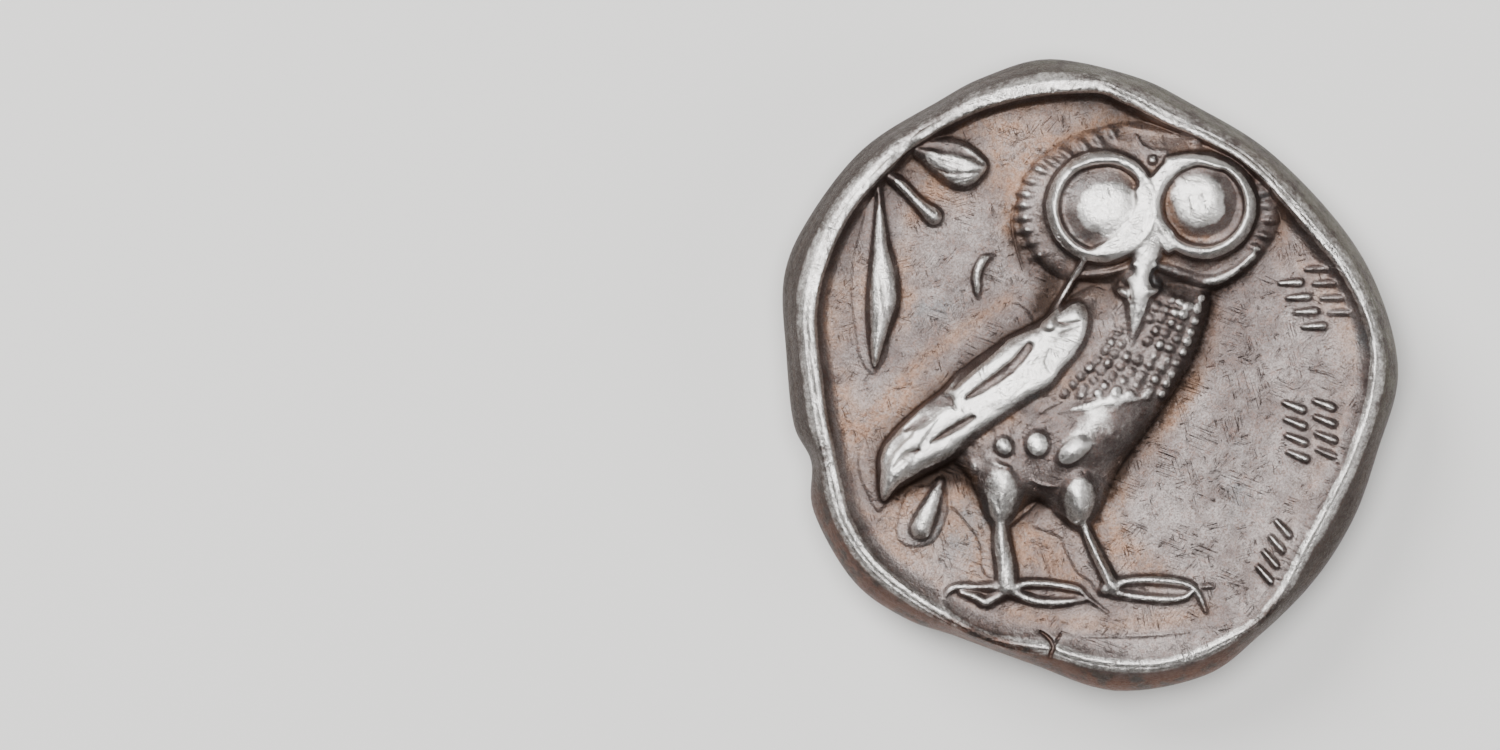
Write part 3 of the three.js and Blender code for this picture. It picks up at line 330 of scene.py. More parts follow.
# Brow, bridge and beak are worn to one flat level, less the nostrils.
def owlFace():
    face = blank()
    cushion(face, [                                   # brow and bridge, worn flat
        [2.55, 7.95], [2.95, 8.35], [3.45, 8.72], [3.95, 8.62], [3.45, 8.05], [3.22, 7.4], [3.2, 6.8],
        [3.4, 6.2], [3.75, 5.7], [3.85, 5.15], [3.4, 4.75], [3.05, 5.05], [2.75, 5.5], [2.45, 5.15],
        [1.9, 4.85], [1.2, 4.68], [0.4, 4.6], [0, 4.9], [0.6, 5.28], [1.1, 5.62], [1.65, 6.15],
        [1.98, 6.85], [1.95, 7.35], [2.08, 7.65], [1.85, 8.1], [1.5, 8.5], [1.9, 8.66], [2.25, 8.3],
    ], 1.33, 0.16)
    cushion(face, [                                   # beak
        [2.1, 4.95], [2.9, 5.05], [3.3, 4.75], [2.9, 4.3], [2.68, 4], [2.75, 3.7], [3.2, 3.5],
        [2.9, 3.05], [2.2, 2.8], [1.5, 3], [1.15, 3.5], [1.5, 3.6], [1.9, 3.95], [2, 4.4],
    ], 1.32, 0.4)
    bar(face, [[2.25, 3.6], [2.15, 2.6], [2, 1.75], [1.9, 1.2]], [1, 0.7, 0.48, 0.25],
        [1.33, 1.25, 1.1, 0.95], 0.6)
    bar(face, [[2.5, 5.6], [2.5, 4.9], [2.35, 4.1], [2.25, 3.4]], [1, 0.75, 0.5, 0.7], 1.33, 0.3)
    bar(face, [[-0.5, 8.25], [0.5, 8.6], [1.45, 8.6]], [0.15, 0.3, 0.25], 1.33, 0.3)
    bar(face, [[3.4, 8.55], [4.4, 8.62], [5.5, 8.3]], [0.25, 0.32, 0.15], 1.33, 0.3)
    nostrils = blank()
    bar(nostrils, [[1.62, 3.62], [1.82, 3.35], [1.86, 3.02]], [0.16, 0.13, 0.05], 0.28)
    bar(nostrils, [[2.72, 3.85], [2.82, 3.6], [2.98, 3.62]], [0.12, 0.13, 0.05], 0.2)
    return face - nostrils


# Bars round the lower half of the face, and one plume in front of the wing.
def owlRuff(layer):
    bar(layer, [[2, 4.42], [1.2, 4.12], [0.5, 4], [-0.1, 3.98]], [0.13, 0.16, 0.12], 0.26)
    bar(layer, [[2.95, 4.35], [3.6, 4.15], [4.4, 3.85], [5.2, 3.72], [6.1, 4.1], [6.8, 4.7]],
        [0.2, 0.3, 0.25], 0.26)
    bar(layer, [[-0.02, 4.5], [-0.35, 3.95], [-0.7, 3.35], [-1.1, 2.7], [-1.38, 2.2]], [0.15, 0.17, 0.2],
        0.55)
    cap(layer, -1.42, 2.05, 0.34, 0.3, 0.42, 0, 0.6)


# Worn feathers round the head, each a short lump that points away from the middle of the face.
def owlFringe(layer):
    cap(layer, 2.75, 8.6, 0.2, 0.2, 0.42, 0, 0.6)
    cap(layer, 4.5, 9.35, 0.32, 0.22, 0.28, 0, 0.8)
    bar(layer, [[2.1, 9.6], [2.35, 9.2], [2.75, 8.98], [3.3, 8.95]], 0.08, 0.14)
    bar(layer, [[1.9, 9.9], [2.8, 9.75], [3.8, 9.6]], [0.08, 0.16, 0.08], 0.12)
    for x, y in [
        [5.2, 9.35], [5.75, 9.15], [6.2, 8.85], [6.6, 8.5], [6.95, 8.1], [7.15, 7.75], [7.2, 7.3],
        [7.35, 6.8], [7.4, 6.2], [7.2, 5.6], [6.85, 5.1], [1.2, 9.6], [0.65, 9.35], [0.1, 9.1],
        [-0.6, 8.8], [-1.15, 8.5], [-1.6, 8.2], [-2, 7.75], [-2.25, 7.25], [-2.4, 6.8], [-2.35, 6.3],
        [-2.3, 5.8], [-2.1, 5.3], [-1.75, 4.8],
    ]:
        away = math.atan2(y - owlSizes["faceMiddle"][1], x - owlSizes["faceMiddle"][0])
        dx, dy = owlSizes["featherReach"] * math.cos(away), owlSizes["featherReach"] * math.sin(away)
        bar(layer, [[x - dx, y - dy], [x, y], [x + dx, y + dy]], [0.1, 0.2, 0.16], [0.05, 0.19, 0.14], 0.9)


# Grooves between the long feathers, which are taken off the wing.
def wingHollows(layer):
    for line, width, depth in [
        [[[-3.25, 1.3], [-3.9, 0.75], [-4.6, 0.2], [-5.2, -0.5]], [0.1, 0.24, 0.27, 0.1], 0.3],
        [[[-2.2, 1.15], [-2.8, 0.4], [-3.5, -0.15], [-4.2, -0.62], [-4.7, -0.92]],
         [0.2, 0.22, 0.18, 0.06], 0.26],
        [[[-5.4, -1], [-5.9, -1.3], [-6.5, -1.85], [-7.1, -2.2]], [0.22, 0.34, 0.28, 0.1], 0.26],
        [[[-4.45, -1.72], [-5, -2.05], [-5.6, -2.4], [-6.1, -2.68]], [0.12, 0.15, 0.05], 0.24],
        [[[-6.6, -3], [-7.1, -3.25], [-7.6, -3.75]], [0.08, 0.17, 0.08], 0.2],
        [[[-6.9, -2.35], [-7.5, -2.8], [-7.9, -3.5]], [0.1, 0.2, 0.1], 0.18],
        [[[-5.65, -0.8], [-5.45, -1], [-5.15, -1.35]], 0.07, 0.16],
        [[[-2.7, -0.75], [-2.2, -0.3]], 0.05, 0.06],
        [[[-1, 2.1], [-0.6, 2.02], [-0.15, 2.12]], [0.05, 0.12, 0.05], 0.18],
        [[[-0.9, 1.62], [-0.5, 1.72], [-0.2, 1.9]], [0.1, 0.16, 0.08], 0.14],
        [[[-1.35, 1], [-1.5, 0.5], [-1.3, 0.1]], [0.05, 0.12, 0.05], 0.08],
    ]:
        bar(layer, line, width, depth, 0.5)
    for k in range(11):                               # barbs along the lower edge of the wing
        x, y = -2.3 - 0.42 * k, -1.62 - 0.27 * k
        bar(layer, [[x, y], [x - 0.28, y + 0.22]], 0.06, 0.07)
    for k in range(6):                                # and at its tip
        bar(layer, [[-7.25 - 0.1 * k, -3 - 0.2 * k], [-7.05 - 0.1 * k, -3.22 - 0.2 * k]], 0.05, 0.06)
        bar(layer, [[-7.4 - 0.08 * k, -3.8 - 0.14 * k], [-7.25 - 0.08 * k, -4 - 0.14 * k]], 0.05, 0.06)


# Scales of the breast: rows that fan out from a slanting line, every other row half a pitch on.
def breastScales(layer):
    shift = np.random.default_rng(7)
    pitch = owlSizes["scalePitch"]
    for row in range(owlSizes["scaleRows"]):
        x, y = -0.78 + 0.66 * row, -0.72 - 0.02 * row
        for k in range(13):
            turn = 44 + 3.2 * row + 1.2 * k
            wide, long = shift.uniform(0.2, 0.23), shift.uniform(0.2, 0.25)
            dx, dy = shift.uniform(-0.05, 0.05, 2)
            underBeak = abs(x - 2.1) < 0.3 + 0.22 * (y - 1) and y > 0.95
            underWing = x < 0.25 + 0.7 * (y - 0.3) and y > -0.3 and row > 0
            if x < 4.9 - 0.42 * (2.9 - y) and y < 3.1 and not underBeak and not underWing:
                cap(layer, x + dx, y + dy, long, wide, shift.uniform(0.16, 0.26), turn, 0.6)
            step = pitch * (0.5 if k == 0 and row % 2 else 1)
            x += step * math.cos(math.radians(turn))
            y += step * math.sin(math.radians(turn))


# Scales, round tufts of the belly and low ridges, which are added to the body.
def owlPlumage(layer):
    breastScales(layer)
    for x, y, rx, ry, turn, height in [
        [-3.2, -2.85, 0.42, 0.48, 30, 0.34], [-1.85, -2.75, 0.56, 0.6, 0, 0.36],
        [-0.4, -3.05, 0.85, 0.5, 38, 0.36],
        [-4.4, -3.7, 0.28, 0.34, 30, 0.2], [-3.6, -3.45, 0.3, 0.2, -30, 0.12],
    ]:
        cap(layer, x, y, rx, ry, height, turn)
    for line, width, height in [
        [[[-1, -1.5], [0.2, -1.22], [1.4, -0.98], [2.5, -0.95]], [0.06, 0.2, 0.26, 0.12], 0.1],
        [[[-1.7, -1.5], [-1.3, -1.2], [-0.9, -1.1]], [0.06, 0.14, 0.06], 0.12],
        [[[-2.1, -4.2], [-1.65, -4.42], [-1.05, -4.48]], [0.05, 0.1, 0.05], 0.16],
        [[[-3, -6.1], [-2.5, -5.65], [-1.9, -5.15]], [0.05, 0.1, 0.05], 0.14],
        [[[-3.7, -3.3], [-3.4, -3.6], [-2.95, -3.7]], [0.05, 0.09, 0.05], 0.12],
    ]:
        bar(layer, line, width, height)


# Hollows beside the beak, which are taken off the breast.
def breastHollows(layer):
    cap(layer, 0.85, 2.95, 0.55, 0.85, 0.22, -20, 1)
    bar(layer, [[0.62, 3.4], [0.95, 2.75], [1.25, 2.35], [1.38, 1.7], [1.7, 1.1]], 0.06, 0.1)
    bar(layer, [[-0.9, -1.15], [0, -0.98], [0.8, -0.85]], 0.05, 0.05)


# Each leg and toe is one bar, and the last bar is the tail.
def owlLegs(layer):
    bar(layer, [[-3.3, -5.9], [-3.25, -6.8], [-3.1, -7.7], [-3.05, -8.5]], [0.34, 0.42, 0.46, 0.48], 0.6,
        0.6)
    bar(layer, [[0, -5.9], [0.4, -6.9], [0.85, -7.8], [1.2, -8.5]], [0.26, 0.27, 0.3, 0.36], 0.58)
    for line, width, height in [
        [[[-2.9, -8.6], [-2.4, -8.38], [-1.7, -8.36], [-0.9, -8.45], [-0.2, -8.6], [0.2, -8.95],
          [1, -9.55]],
         [0.3, 0.2, 0.19, 0.19, 0.16, 0.12, 0.06], [0.5, 0.45, 0.45, 0.42, 0.38, 0.3, 0.15]],
        [[[-2.9, -8.65], [-2.4, -8.9], [-1.8, -9.08], [-0.9, -9.12], [0.1, -9]],
         [0.3, 0.24, 0.22, 0.2, 0.12], [0.45, 0.36, 0.34, 0.32, 0.25]],
        [[[-3.4, -8.5], [-4.2, -8.5], [-4.9, -8.48], [-5.35, -8.62], [-5.58, -9.05], [-5.42, -9.5]],
         [0.3, 0.16, 0.17, 0.17, 0.14, 0.1], [0.45, 0.36, 0.38, 0.36, 0.25, 0.2]],
        [[[-3.1, -8.7], [-3.5, -8.92], [-3.9, -9.12], [-4.3, -8.92], [-4.9, -8.72]],
         [0.3, 0.26, 0.25, 0.2, 0.12], 0.42],
        [[[1.1, -8.5], [1.7, -8.28], [2.6, -8.22], [3.6, -8.28], [4.3, -8.45], [4.65, -8.85], [4.93, -9.5]],
         [0.3, 0.22, 0.2, 0.2, 0.18, 0.14, 0.1], [0.5, 0.44, 0.44, 0.42, 0.4, 0.3, 0.2]],
        [[[0.9, -8.6], [1.5, -8.78], [2.3, -8.92], [3.2, -9], [4, -8.95], [4.4, -8.7]],
         [0.28, 0.24, 0.2, 0.2, 0.16, 0.1], [0.42, 0.36, 0.32]],
        [[[4.75, -8.5], [5.2, -8.48]], [0.12, 0.1], 0.24],
    ]:
        bar(layer, line, width, height, 0.6)
    bar(layer, [[-5.72, -4.3], [-6, -5], [-6.3, -5.7], [-6.5, -6.15]], [0.2, 0.36, 0.48, 0.5],
        [0.4, 0.5, 0.58], 0.6)


# Olive sprig: two leaves, a stem, and a small crescent beside it.
def sprig(layer):
    cushion(layer, [                                  # upper leaf
        [-7.1, 9.1], [-6.4, 9.5], [-5.5, 9.55], [-4.6, 9.25], [-3.95, 8.75], [-3.78, 8.35], [-4.05, 7.8],
        [-4.7, 7.42], [-5.3, 7.5], [-6, 8], [-6.5, 8.5],
    ], 0.66, 0.7)
    cushion(layer, [                                  # lower leaf
        [-8.45, 8.1], [-8.1, 7.6], [-7.95, 6.6], [-7.75, 5.4], [-7.5, 4.5], [-7.35, 3.5], [-7.4, 2.6],
        [-7.8, 1.5], [-8.35, 0.25], [-8.6, 1.2], [-8.7, 2.4], [-8.65, 3.8], [-8.5, 5.2], [-8.35, 6.8],
    ], 0.62, 0.5, 0.6)
    bar(layer, [[-8.1, 8.15], [-7.4, 7.7], [-6.7, 7], [-6, 6.35]], [0.24, 0.26, 0.26, 0.4],
        [0.5, 0.48, 0.46, 0.62], 0.6)
    bar(layer, [[-3.6, 4.8], [-4, 4.62], [-4.25, 4.1], [-4.25, 3.5], [-4.2, 3.1]],
        [0.1, 0.2, 0.2, 0.18, 0.1], [0.15, 0.4, 0.4, 0.3, 0.15], 0.6)


# Hollows along the leaves.
def sprigVeins(layer):
    bar(layer, [[-6.6, 9.12], [-5.8, 9.1], [-5.1, 8.98], [-4.4, 8.7], [-4, 8.45]],
        [0.06, 0.2, 0.24, 0.14, 0.05], 0.17, 0.6)
    bar(layer, [[-6, 8.3], [-5.2, 8.05], [-4.2, 8.1]], [0.05, 0.1, 0.05], 0.1)
    bar(layer, [[-8.35, 5], [-8.3, 3.5], [-8.35, 1.5]], 0.05, 0.05)


# Low steps beside the figures, where a second blow of the hammer left their contours again.
def secondStrike(layer):
    for outline in [
        [[-8.85, 7.6], [-8.76, 7], [-8.9, 6], [-9.22, 4.7], [-9.32, 3.2], [-9.15, 1.7], [-9, 0.8],
         [-8.65, 0.15],
         [-8.3, 0.1], [-7.8, 1.3], [-8.2, 4], [-8.3, 7]],
        [[-2.8, 2.9], [-4.2, 1.95], [-5.4, 1.05], [-6.4, 0.3], [-7.1, -0.6], [-8, -1.5], [-8.55, -2.1],
         [-9, -3.2], [-9, -3.9], [-8.7, -4.7], [-8.4, -5.3], [-8.1, -5.45], [-7.5, -4.5], [-6, -2],
         [-3.5, 0.8],
         [-2, 2]],
        [[-6.9, -4.5], [-7.35, -5.4], [-7.5, -6.2], [-7.35, -6.7], [-6.95, -6.9], [-6.3, -6.85],
         [-5.9, -6.6],
         [-5.6, -6.05], [-5.4, -5.3], [-5.6, -4.6]],
        [[-5.4, -5.1], [-5, -5.6], [-4.6, -6.1], [-4.25, -6.6], [-4.1, -7.2], [-4.1, -7.7], [-3.8, -8.15],
         [-3.2, -8],
         [-3.2, -6], [-4, -4.5], [-5, -4.2]],
        [[-2, -6.05], [-1.5, -6.3], [-0.95, -6.55], [-0.75, -7], [-0.5, -7.5], [-0.2, -8], [0.25, -8.3],
         [0.7, -8.9],
         [1.1, -8.3], [0.3, -6.6], [-0.5, -5.7], [-1.5, -5.4]],
    ]:
        cushion(layer, outline, 0.07, 0.1, 0.7)
    bar(layer, [[-3.6, -10.5], [0, -10.5], [3, -10.42], [6.2, -10.1]], 0.08, 0.06)
    bar(layer, [[-1.35, -10.4], [-1.25, -10.75], [-1.05, -10.95]], 0.05, 0.05)


legend = {
    "places": [[9.3, 3.1, -62], [9.1, -2.2, -86], [8.2, -7.3, -112]],   # x, y, turn in degrees
    "lines": [0.6, -0.6],      # offset of each row
    "strokes": 4,
    "pitch": 0.66,
    "halfLength": 0.4,
    "lean": 64,
}


# Two rows of short slanted strokes at each place where the legend stands.
def legendStrokes(layer):
    for x0, y0, turn in legend["places"]:
        c, s = math.cos(math.radians(turn)), math.sin(math.radians(turn))
        lean = math.radians(turn + legend["lean"])
        dx, dy = legend["halfLength"] * math.cos(lean), legend["halfLength"] * math.sin(lean)
        for offset in legend["lines"]:
            for k in range(legend["strokes"]):
                step = (k - (legend["strokes"] - 1) / 2) * legend["pitch"]
                x, y = x0 + step * c - offset * s, y0 + step * s + offset * c
                bar(layer, [[x - dx, y - dy], [x, y], [x + dx, y + dy]], [0.11, 0.14, 0.17],
                    [0.26, 0.3, 0.34], 0.6)


reliefWear = {
    "skirt": 0.42,            # share of the blurred relief, which softens its foot
    "skirtSize": 0.16,
    "fineDent": 0.011,
    "fineSize": 0.16,
    "broadDent": 0.02,
    "broadSize": 0.42,
    "fullHeight": 0.3,        # dents reach their full depth this far over the field
    "seed": 21,
}


# Fine and broad dents that grow with the height of the relief.
def dented(z):
    dents = reliefWear["fineDent"] * unevenness(reliefWear["fineSize"], reliefWear["seed"])
    dents = dents + reliefWear["broadDent"] * unevenness(reliefWear["broadSize"], reliefWear["seed"] + 1)
    return z + dents * smoothStep(z / reliefWear["fullHeight"])


# The owl and its sprig are joined first, and then worn, dented and struck a second time.
def owlRelief():
    owl = owlEyes(owlBody())
    owl = np.maximum(owl, owlFace())
    owl = owl + drawn(owlRuff) + drawn(owlFringe) + drawn(owlPlumage)
    owl = owl - drawn(wingHollows) - drawn(breastHollows)
    owl = smoothMax(owl, drawn(owlLegs), 0.04)
    owl = smoothMax(owl, drawn(sprig) - drawn(sprigVeins), 0.02)
    owl = np.maximum(owl, drawn(legendStrokes))
    owl = (1 - reliefWear["skirt"]) * owl + reliefWear["skirt"] * blur(owl, reliefWear["skirtSize"])
    return dented(owl) + drawn(secondStrike)


# The face is laid out in thirds of its height: hairline, brow, base of the nose, chin.
face = {
    "third": 5.2, "x": 7.35, "y": -1, "lean": 3,
    "profile": [
        [2.02, -0.2], [1.7, -0.07], [1.35, 0], [1.05, 0.03], [0.86, 0], [0.62, 0.1], [0.4, 0.2],
        [0.2, 0.31], [0.1, 0.34], [0.03, 0.29], [-0.01, 0.16], [-0.04, 0.05], [-0.13, 0.05],
        [-0.22, 0.11], [-0.29, 0.1], [-0.335, 0.03], [-0.38, 0.08], [-0.46, 0.06], [-0.56, -0.03],
        [-0.68, 0], [-0.82, 0.01], [-0.95, -0.07], [-1.03, -0.22], [-1.06, -0.42], [-1.05, -0.7],
        [-0.95, -1.05], [-0.75, -1.5], [-0.3, -1.85], [0.5, -1.9], [1.2, -1.2], [1.7, -0.6],
    ],
}


# A place on the face: thirds up from the base of the nose, thirds forward of the brow.
def onFace(up, forward):
    c, s = math.cos(math.radians(face["lean"])), math.sin(math.radians(face["lean"]))
    return [face["x"] + face["third"] * (forward * c - up * s),
            face["y"] + face["third"] * (forward * s + up * c)]


def onFaceAll(points):
    return [onFace(*p) for p in points]


# Neck, face and helmet are cushions, joined with rounded creases.
def headMass():
    neck = drawn(lambda layer: cushion(layer, [
        [-6.6, -1], [-6.9, -3.5], [-6.85, -8.2], [-6, -9], [-4.5, -9.6], [-2.9, -10.6], [1, -10.6],
        [2.8, -11], [3.5, -9.2], [3.9, -8], [4.6, -6.6], [4.6, -3], [0, -1],
    ], 1.05, 1.6))
    plain = drawn(lambda layer: cushion(layer, onFaceAll(face["profile"]), 1, 1.9))
    plain *= 1 + drawn(lambda layer: cap(layer, *onFace(0.1, -1.15), 7.2, 8, 0.85))
    bowl = drawn(lambda layer: cushion(layer, [
        [-8.2, 10.4], [-9.3, 9], [-10.4, 7.2], [-11, 5], [-11.1, 3], [-10.7, 0.4], [-9.6, -1.6],
        [-8, -3.1], [-5, -3.5], [-3.3, -2.9], [-2.6, -1.5], [-2, 2], [-1, 5.6], [2.5, 8.6], [5.9, 9.6],
        [6.4, 10.6], [4.5, 12.6], [0, 13], [-5, 12.7],
    ], 1.15, 2, 0.5))
    cap(bowl, -4.2, 5.8, 7.6, 7.4, 1.72, 0, 0.7)
    return smoothMax(smoothMax(smoothMax(blank(), neck, 0.1), plain, 0.2), bowl, 0.15)


# Lids, brow, nose, lips, chin and cheek, which are added to the plain face.
def faceFeatures(layer):
    upperLid = [[0.69, -0.82], [0.81, -0.68], [0.855, -0.5], [0.82, -0.32], [0.7, -0.22]]
    lowerLid = [[0.69, -0.82], [0.615, -0.66], [0.585, -0.5], [0.61, -0.34], [0.7, -0.22]]
    cap(layer, *onFace(0.71, -0.5), 1.3, 0.72, 0.42, 3, 0.55)
    bar(layer, onFaceAll(upperLid), [0.12, 0.17, 0.18, 0.17, 0.12], 0.42)
    bar(layer, onFaceAll(lowerLid), [0.1, 0.13, 0.1], 0.34)
    bar(layer, onFaceAll([[0.86, -0.98], [1.02, -0.72], [1.06, -0.42], [0.99, -0.14]]),
        [0.15, 0.3, 0.34, 0.25], [0.1, 0.25, 0.28, 0.2], 1)
    cap(layer, *onFace(0.11, 0.13), 0.62, 0.55, 0.3)
    bar(layer, onFaceAll([[0.8, -0.12], [0.5, 0.02], [0.2, 0.2]]), [0.4, 0.55, 0.6], [0, 0.24], 1.6)
    bar(layer, onFaceAll([[-0.31, -0.3], [-0.25, -0.12], [-0.23, 0.06]]), [0.12, 0.28, 0.3], [0.1, 0.34])
    bar(layer, onFaceAll([[-0.34, -0.3], [-0.405, -0.12], [-0.415, 0.03]]), [0.1, 0.27, 0.28], [0.1, 0.3])
    cap(layer, *onFace(-0.78, -0.12), 0.95, 0.9, 0.22, 0, 1)
    cap(layer, *onFace(0.12, -0.85), 2.3, 1.9, 0.14, 10, 1.6)


# The socket of the eye.
def faceFolds(layer):
    cap(layer, *onFace(0.715, -0.5), 1.95, 1.25, 0.36, 3, 1)


# Nostril wing, mouth line and chin fold, which are taken off.
def faceCreases(layer):
    bar(layer, onFaceAll([[0.02, 0], [0.12, -0.03], [0.22, 0.02], [0.27, 0.1]]), [0.06, 0.12, 0.06], 0.22)
    bar(layer, onFaceAll([[-0.315, -0.42], [-0.325, -0.2], [-0.325, 0.08]]), 0.1, [0.12, 0.34])
    bar(layer, onFaceAll([[-0.54, -0.16], [-0.555, 0]]), 0.28, 0.16, 1.2)
    cap(layer, *onFace(0.015, 0.2), 0.22, 0.13, 0.2, 10)


# Hair over the brow, and beside the cheek.
def hairMass(layer):
    cushion(layer, [
        [-2.2, 5.6], [-1, 4.95], [0.6, 4.95], [2.6, 5.95], [4.8, 7.3], [6.2, 9], [6.2, 10.1], [4.6, 10],
        [2, 9.2], [-0.5, 8], [-2, 6.8],
    ], 1.4, 0.5)
    cushion(layer, [
        [-2.2, 5], [-1.8, 5.5], [-0.7, 5.2], [0.1, 4.5], [0.35, 3.6], [0.15, 2.6], [-0.5, 1.7],
        [-1.5, 1.3], [-2.6, 1.4], [-3.8, 2], [-3, 2.5], [-2.5, 3.2],
    ], 1.8, 0.8)


# Each strand is one bar along the hair.
def hairStrands(layer):
    for line, width in [
        [[[-1.7, 6.1], [-1.2, 5.6], [-0.4, 5.32], [0.6, 5.35], [1.8, 5.8], [3, 6.5], [4, 7.15], [5, 8.05],
          [5.6, 9.05],
          [5.9, 9.8]], 0.38],
        [[[-1.2, 6.5], [-0.6, 6.15], [0.2, 6.05], [1.1, 6.25], [2.2, 6.75], [3.2, 7.35], [4.2, 8.1],
          [5, 8.9], [5.5, 9.5]],
         0.36],
        [[[-0.8, 7], [-0.3, 6.72], [0.4, 6.68], [1.2, 6.9], [2.2, 7.35], [3.2, 8], [3.9, 8.6],
          [4.5, 9.25]], 0.35],
        [[[-0.2, 7.42], [0.5, 7.3], [1.3, 7.5], [2.2, 7.95], [2.9, 8.55], [3.5, 9.2]], 0.28],
        [[[0.9, 7.85], [1.6, 8.2], [2.3, 8.65]], 0.22],
    ]:
        bar(layer, line, [0.15] + [width] * 6 + [0.15], 0.6, 0.6)


# Grooves between the locks beside the cheek.
def curlGrooves(layer):
    bar(layer, [[-0.6, 5], [-0.2, 4.2], [-0.3, 3.2], [-1, 2.4], [-2.2, 2.1]], [0.06, 0.12, 0.06], 0.22)
    bar(layer, [[-1.3, 5.2], [-0.8, 4.3], [-0.9, 3.4], [-1.7, 2.8], [-2.6, 2.6]], [0.06, 0.12, 0.06], 0.22)
    bar(layer, [[-1.9, 5], [-1.5, 4.2], [-1.8, 3.4]], [0.06, 0.1, 0.06], 0.18)


# Outer and inner fold of the ear, and its lobe.
def ear(layer):
    bar(layer, [
        [-2.3, 3.2], [-2.5, 3.8], [-3, 4.2], [-3.7, 4.35], [-4.6, 4], [-5.2, 3.2], [-5.4, 2.3],
        [-5.2, 1.4], [-4.8, 0.6], [-4.2, -0.1], [-3.5, -0.7], [-3, -1.1],
    ], 0.33, 0.55)
    bar(layer, [[-5, 1.5], [-4.8, 2.2], [-4.5, 2.8], [-4, 3.2], [-3.4, 3.5], [-3, 3.2], [-2.6, 2.7],
                [-2.9, 2.4]], 0.17, 0.4)
    bar(layer, [[-4.6, 0.9], [-3.8, 0.9], [-3, 0.6], [-2.3, 0.1], [-1.9, -0.2]], [0.15, 0.24, 0.24], 0.45)


# Scrolls on the helmet's bowl: one long stem and its side shoots.
def volutes(layer):
    bar(layer, [
        [-3.6, 4.75], [-4.5, 5], [-5.5, 5.6], [-6.3, 6.1], [-7, 6.6], [-8, 6.85], [-8.9, 6.7],
        [-9.6, 6.2], [-9.9, 5.4], [-9.8, 4.6], [-9.4, 3.8], [-8.8, 3.1], [-8, 2.4], [-7.1, 1.8],
        [-6.4, 1.1], [-6, 0.3], [-5.95, -0.5], [-6.3, -1.3], [-7, -1.85], [-7.8, -1.85], [-8.5, -1.4],
        [-9.1, -0.7], [-9.5, 0], [-10, 1.1],
    ], [0.3, 0.3, 0.34, 0.34, 0.3, 0.3, 0.28, 0.2], 0.36)
    for line, width in [
        [[[-7.4, 2], [-8.3, 1.95], [-9.3, 2.1], [-10.2, 2.3]], 0.24],
        [[[-8.2, 1.7], [-8.6, 1.1], [-8.7, 0.3], [-8.4, -0.3], [-7.8, -0.55], [-7.2, -0.35],
          [-6.8, -0.7]], [0.25, 0.25, 0.4]],
        [[[-7.2, 6.2], [-6.95, 5.4], [-7.1, 5], [-7.5, 4.6], [-8.3, 4.25]], 0.25],
        [[[-5.55, 8.15], [-5.35, 7.6], [-5.4, 7.1], [-5.8, 6.75], [-6.6, 6.6]], 0.3],
        [[[-3.9, 8.6], [-3.85, 8], [-4.1, 7.3], [-4.5, 6.8], [-4.9, 6.6]], 0.3],
        [[[-6.2, 4.8], [-6.1, 4.2], [-6.4, 3.5], [-7, 3.1]], [0.35, 0.2]],
    ]:
        bar(layer, line, width, 0.3)


# Three upright leaves over the helmet's visor.
def helmetLeaves(layer):
    cushion(layer, [
        [-4.1, 12.6], [-3.6, 10.7], [-3.2, 9.4], [-2.6, 8.3], [-1.9, 7.3], [-1, 7.9], [-1.5, 9.1],
        [-1.9, 10.2], [-2.6, 12.4],
    ], 0.5, 0.45)
    cushion(layer, [
        [-0.95, 12.7], [-0.7, 11.2], [-0.4, 9.9], [0, 8.9], [1.2, 9.2], [1.15, 10.3], [0.95, 11.5],
        [0.85, 12.7],
    ], 0.5, 0.45)
    cushion(layer, [[1.5, 12.4], [1.6, 11], [1.7, 10.2], [3.4, 10.8], [4.1, 11.3], [3.6, 11.9],
                    [2.8, 12.1]], 0.2, 0.3)


# Hollows along those leaves.
def leafVeins(layer):
    bar(layer, [[-2.9, 11], [-2.4, 9.9], [-2, 8.8], [-1.8, 8.4]], 0.12, 0.2)
    bar(layer, [[-3.2, 10.5], [-2.8, 9.2]], 0.08, 0.14)
    bar(layer, [[-0.3, 11.3], [0.3, 9.6]], 0.1, 0.2)
    bar(layer, [[0.5, 11.3], [0.9, 9.6]], 0.1, 0.18)


# Two parallel bands of the visor.
def visor(layer):
    bar(layer, [[-3.6, 5.7], [-2.3, 7], [-1.3, 7.8], [0.3, 8.85], [1.5, 9.45], [3, 10.05], [4.3, 10.5],
                [5.3, 10.5],
                [5.9, 10.1]], [0.45, 0.5, 0.52, 0.52, 0.5, 0.5, 0.4], 0.42, 0.5)
    bar(layer, [[-3.1, 5.25], [-2.2, 6.1], [-1.1, 7.05], [0.3, 7.9], [1.6, 8.65], [3, 9.3], [4.2, 9.75],
                [5.6, 9.9]],
        [0.3, 0.32, 0.3, 0.26, 0.2], 0.4, 0.5)


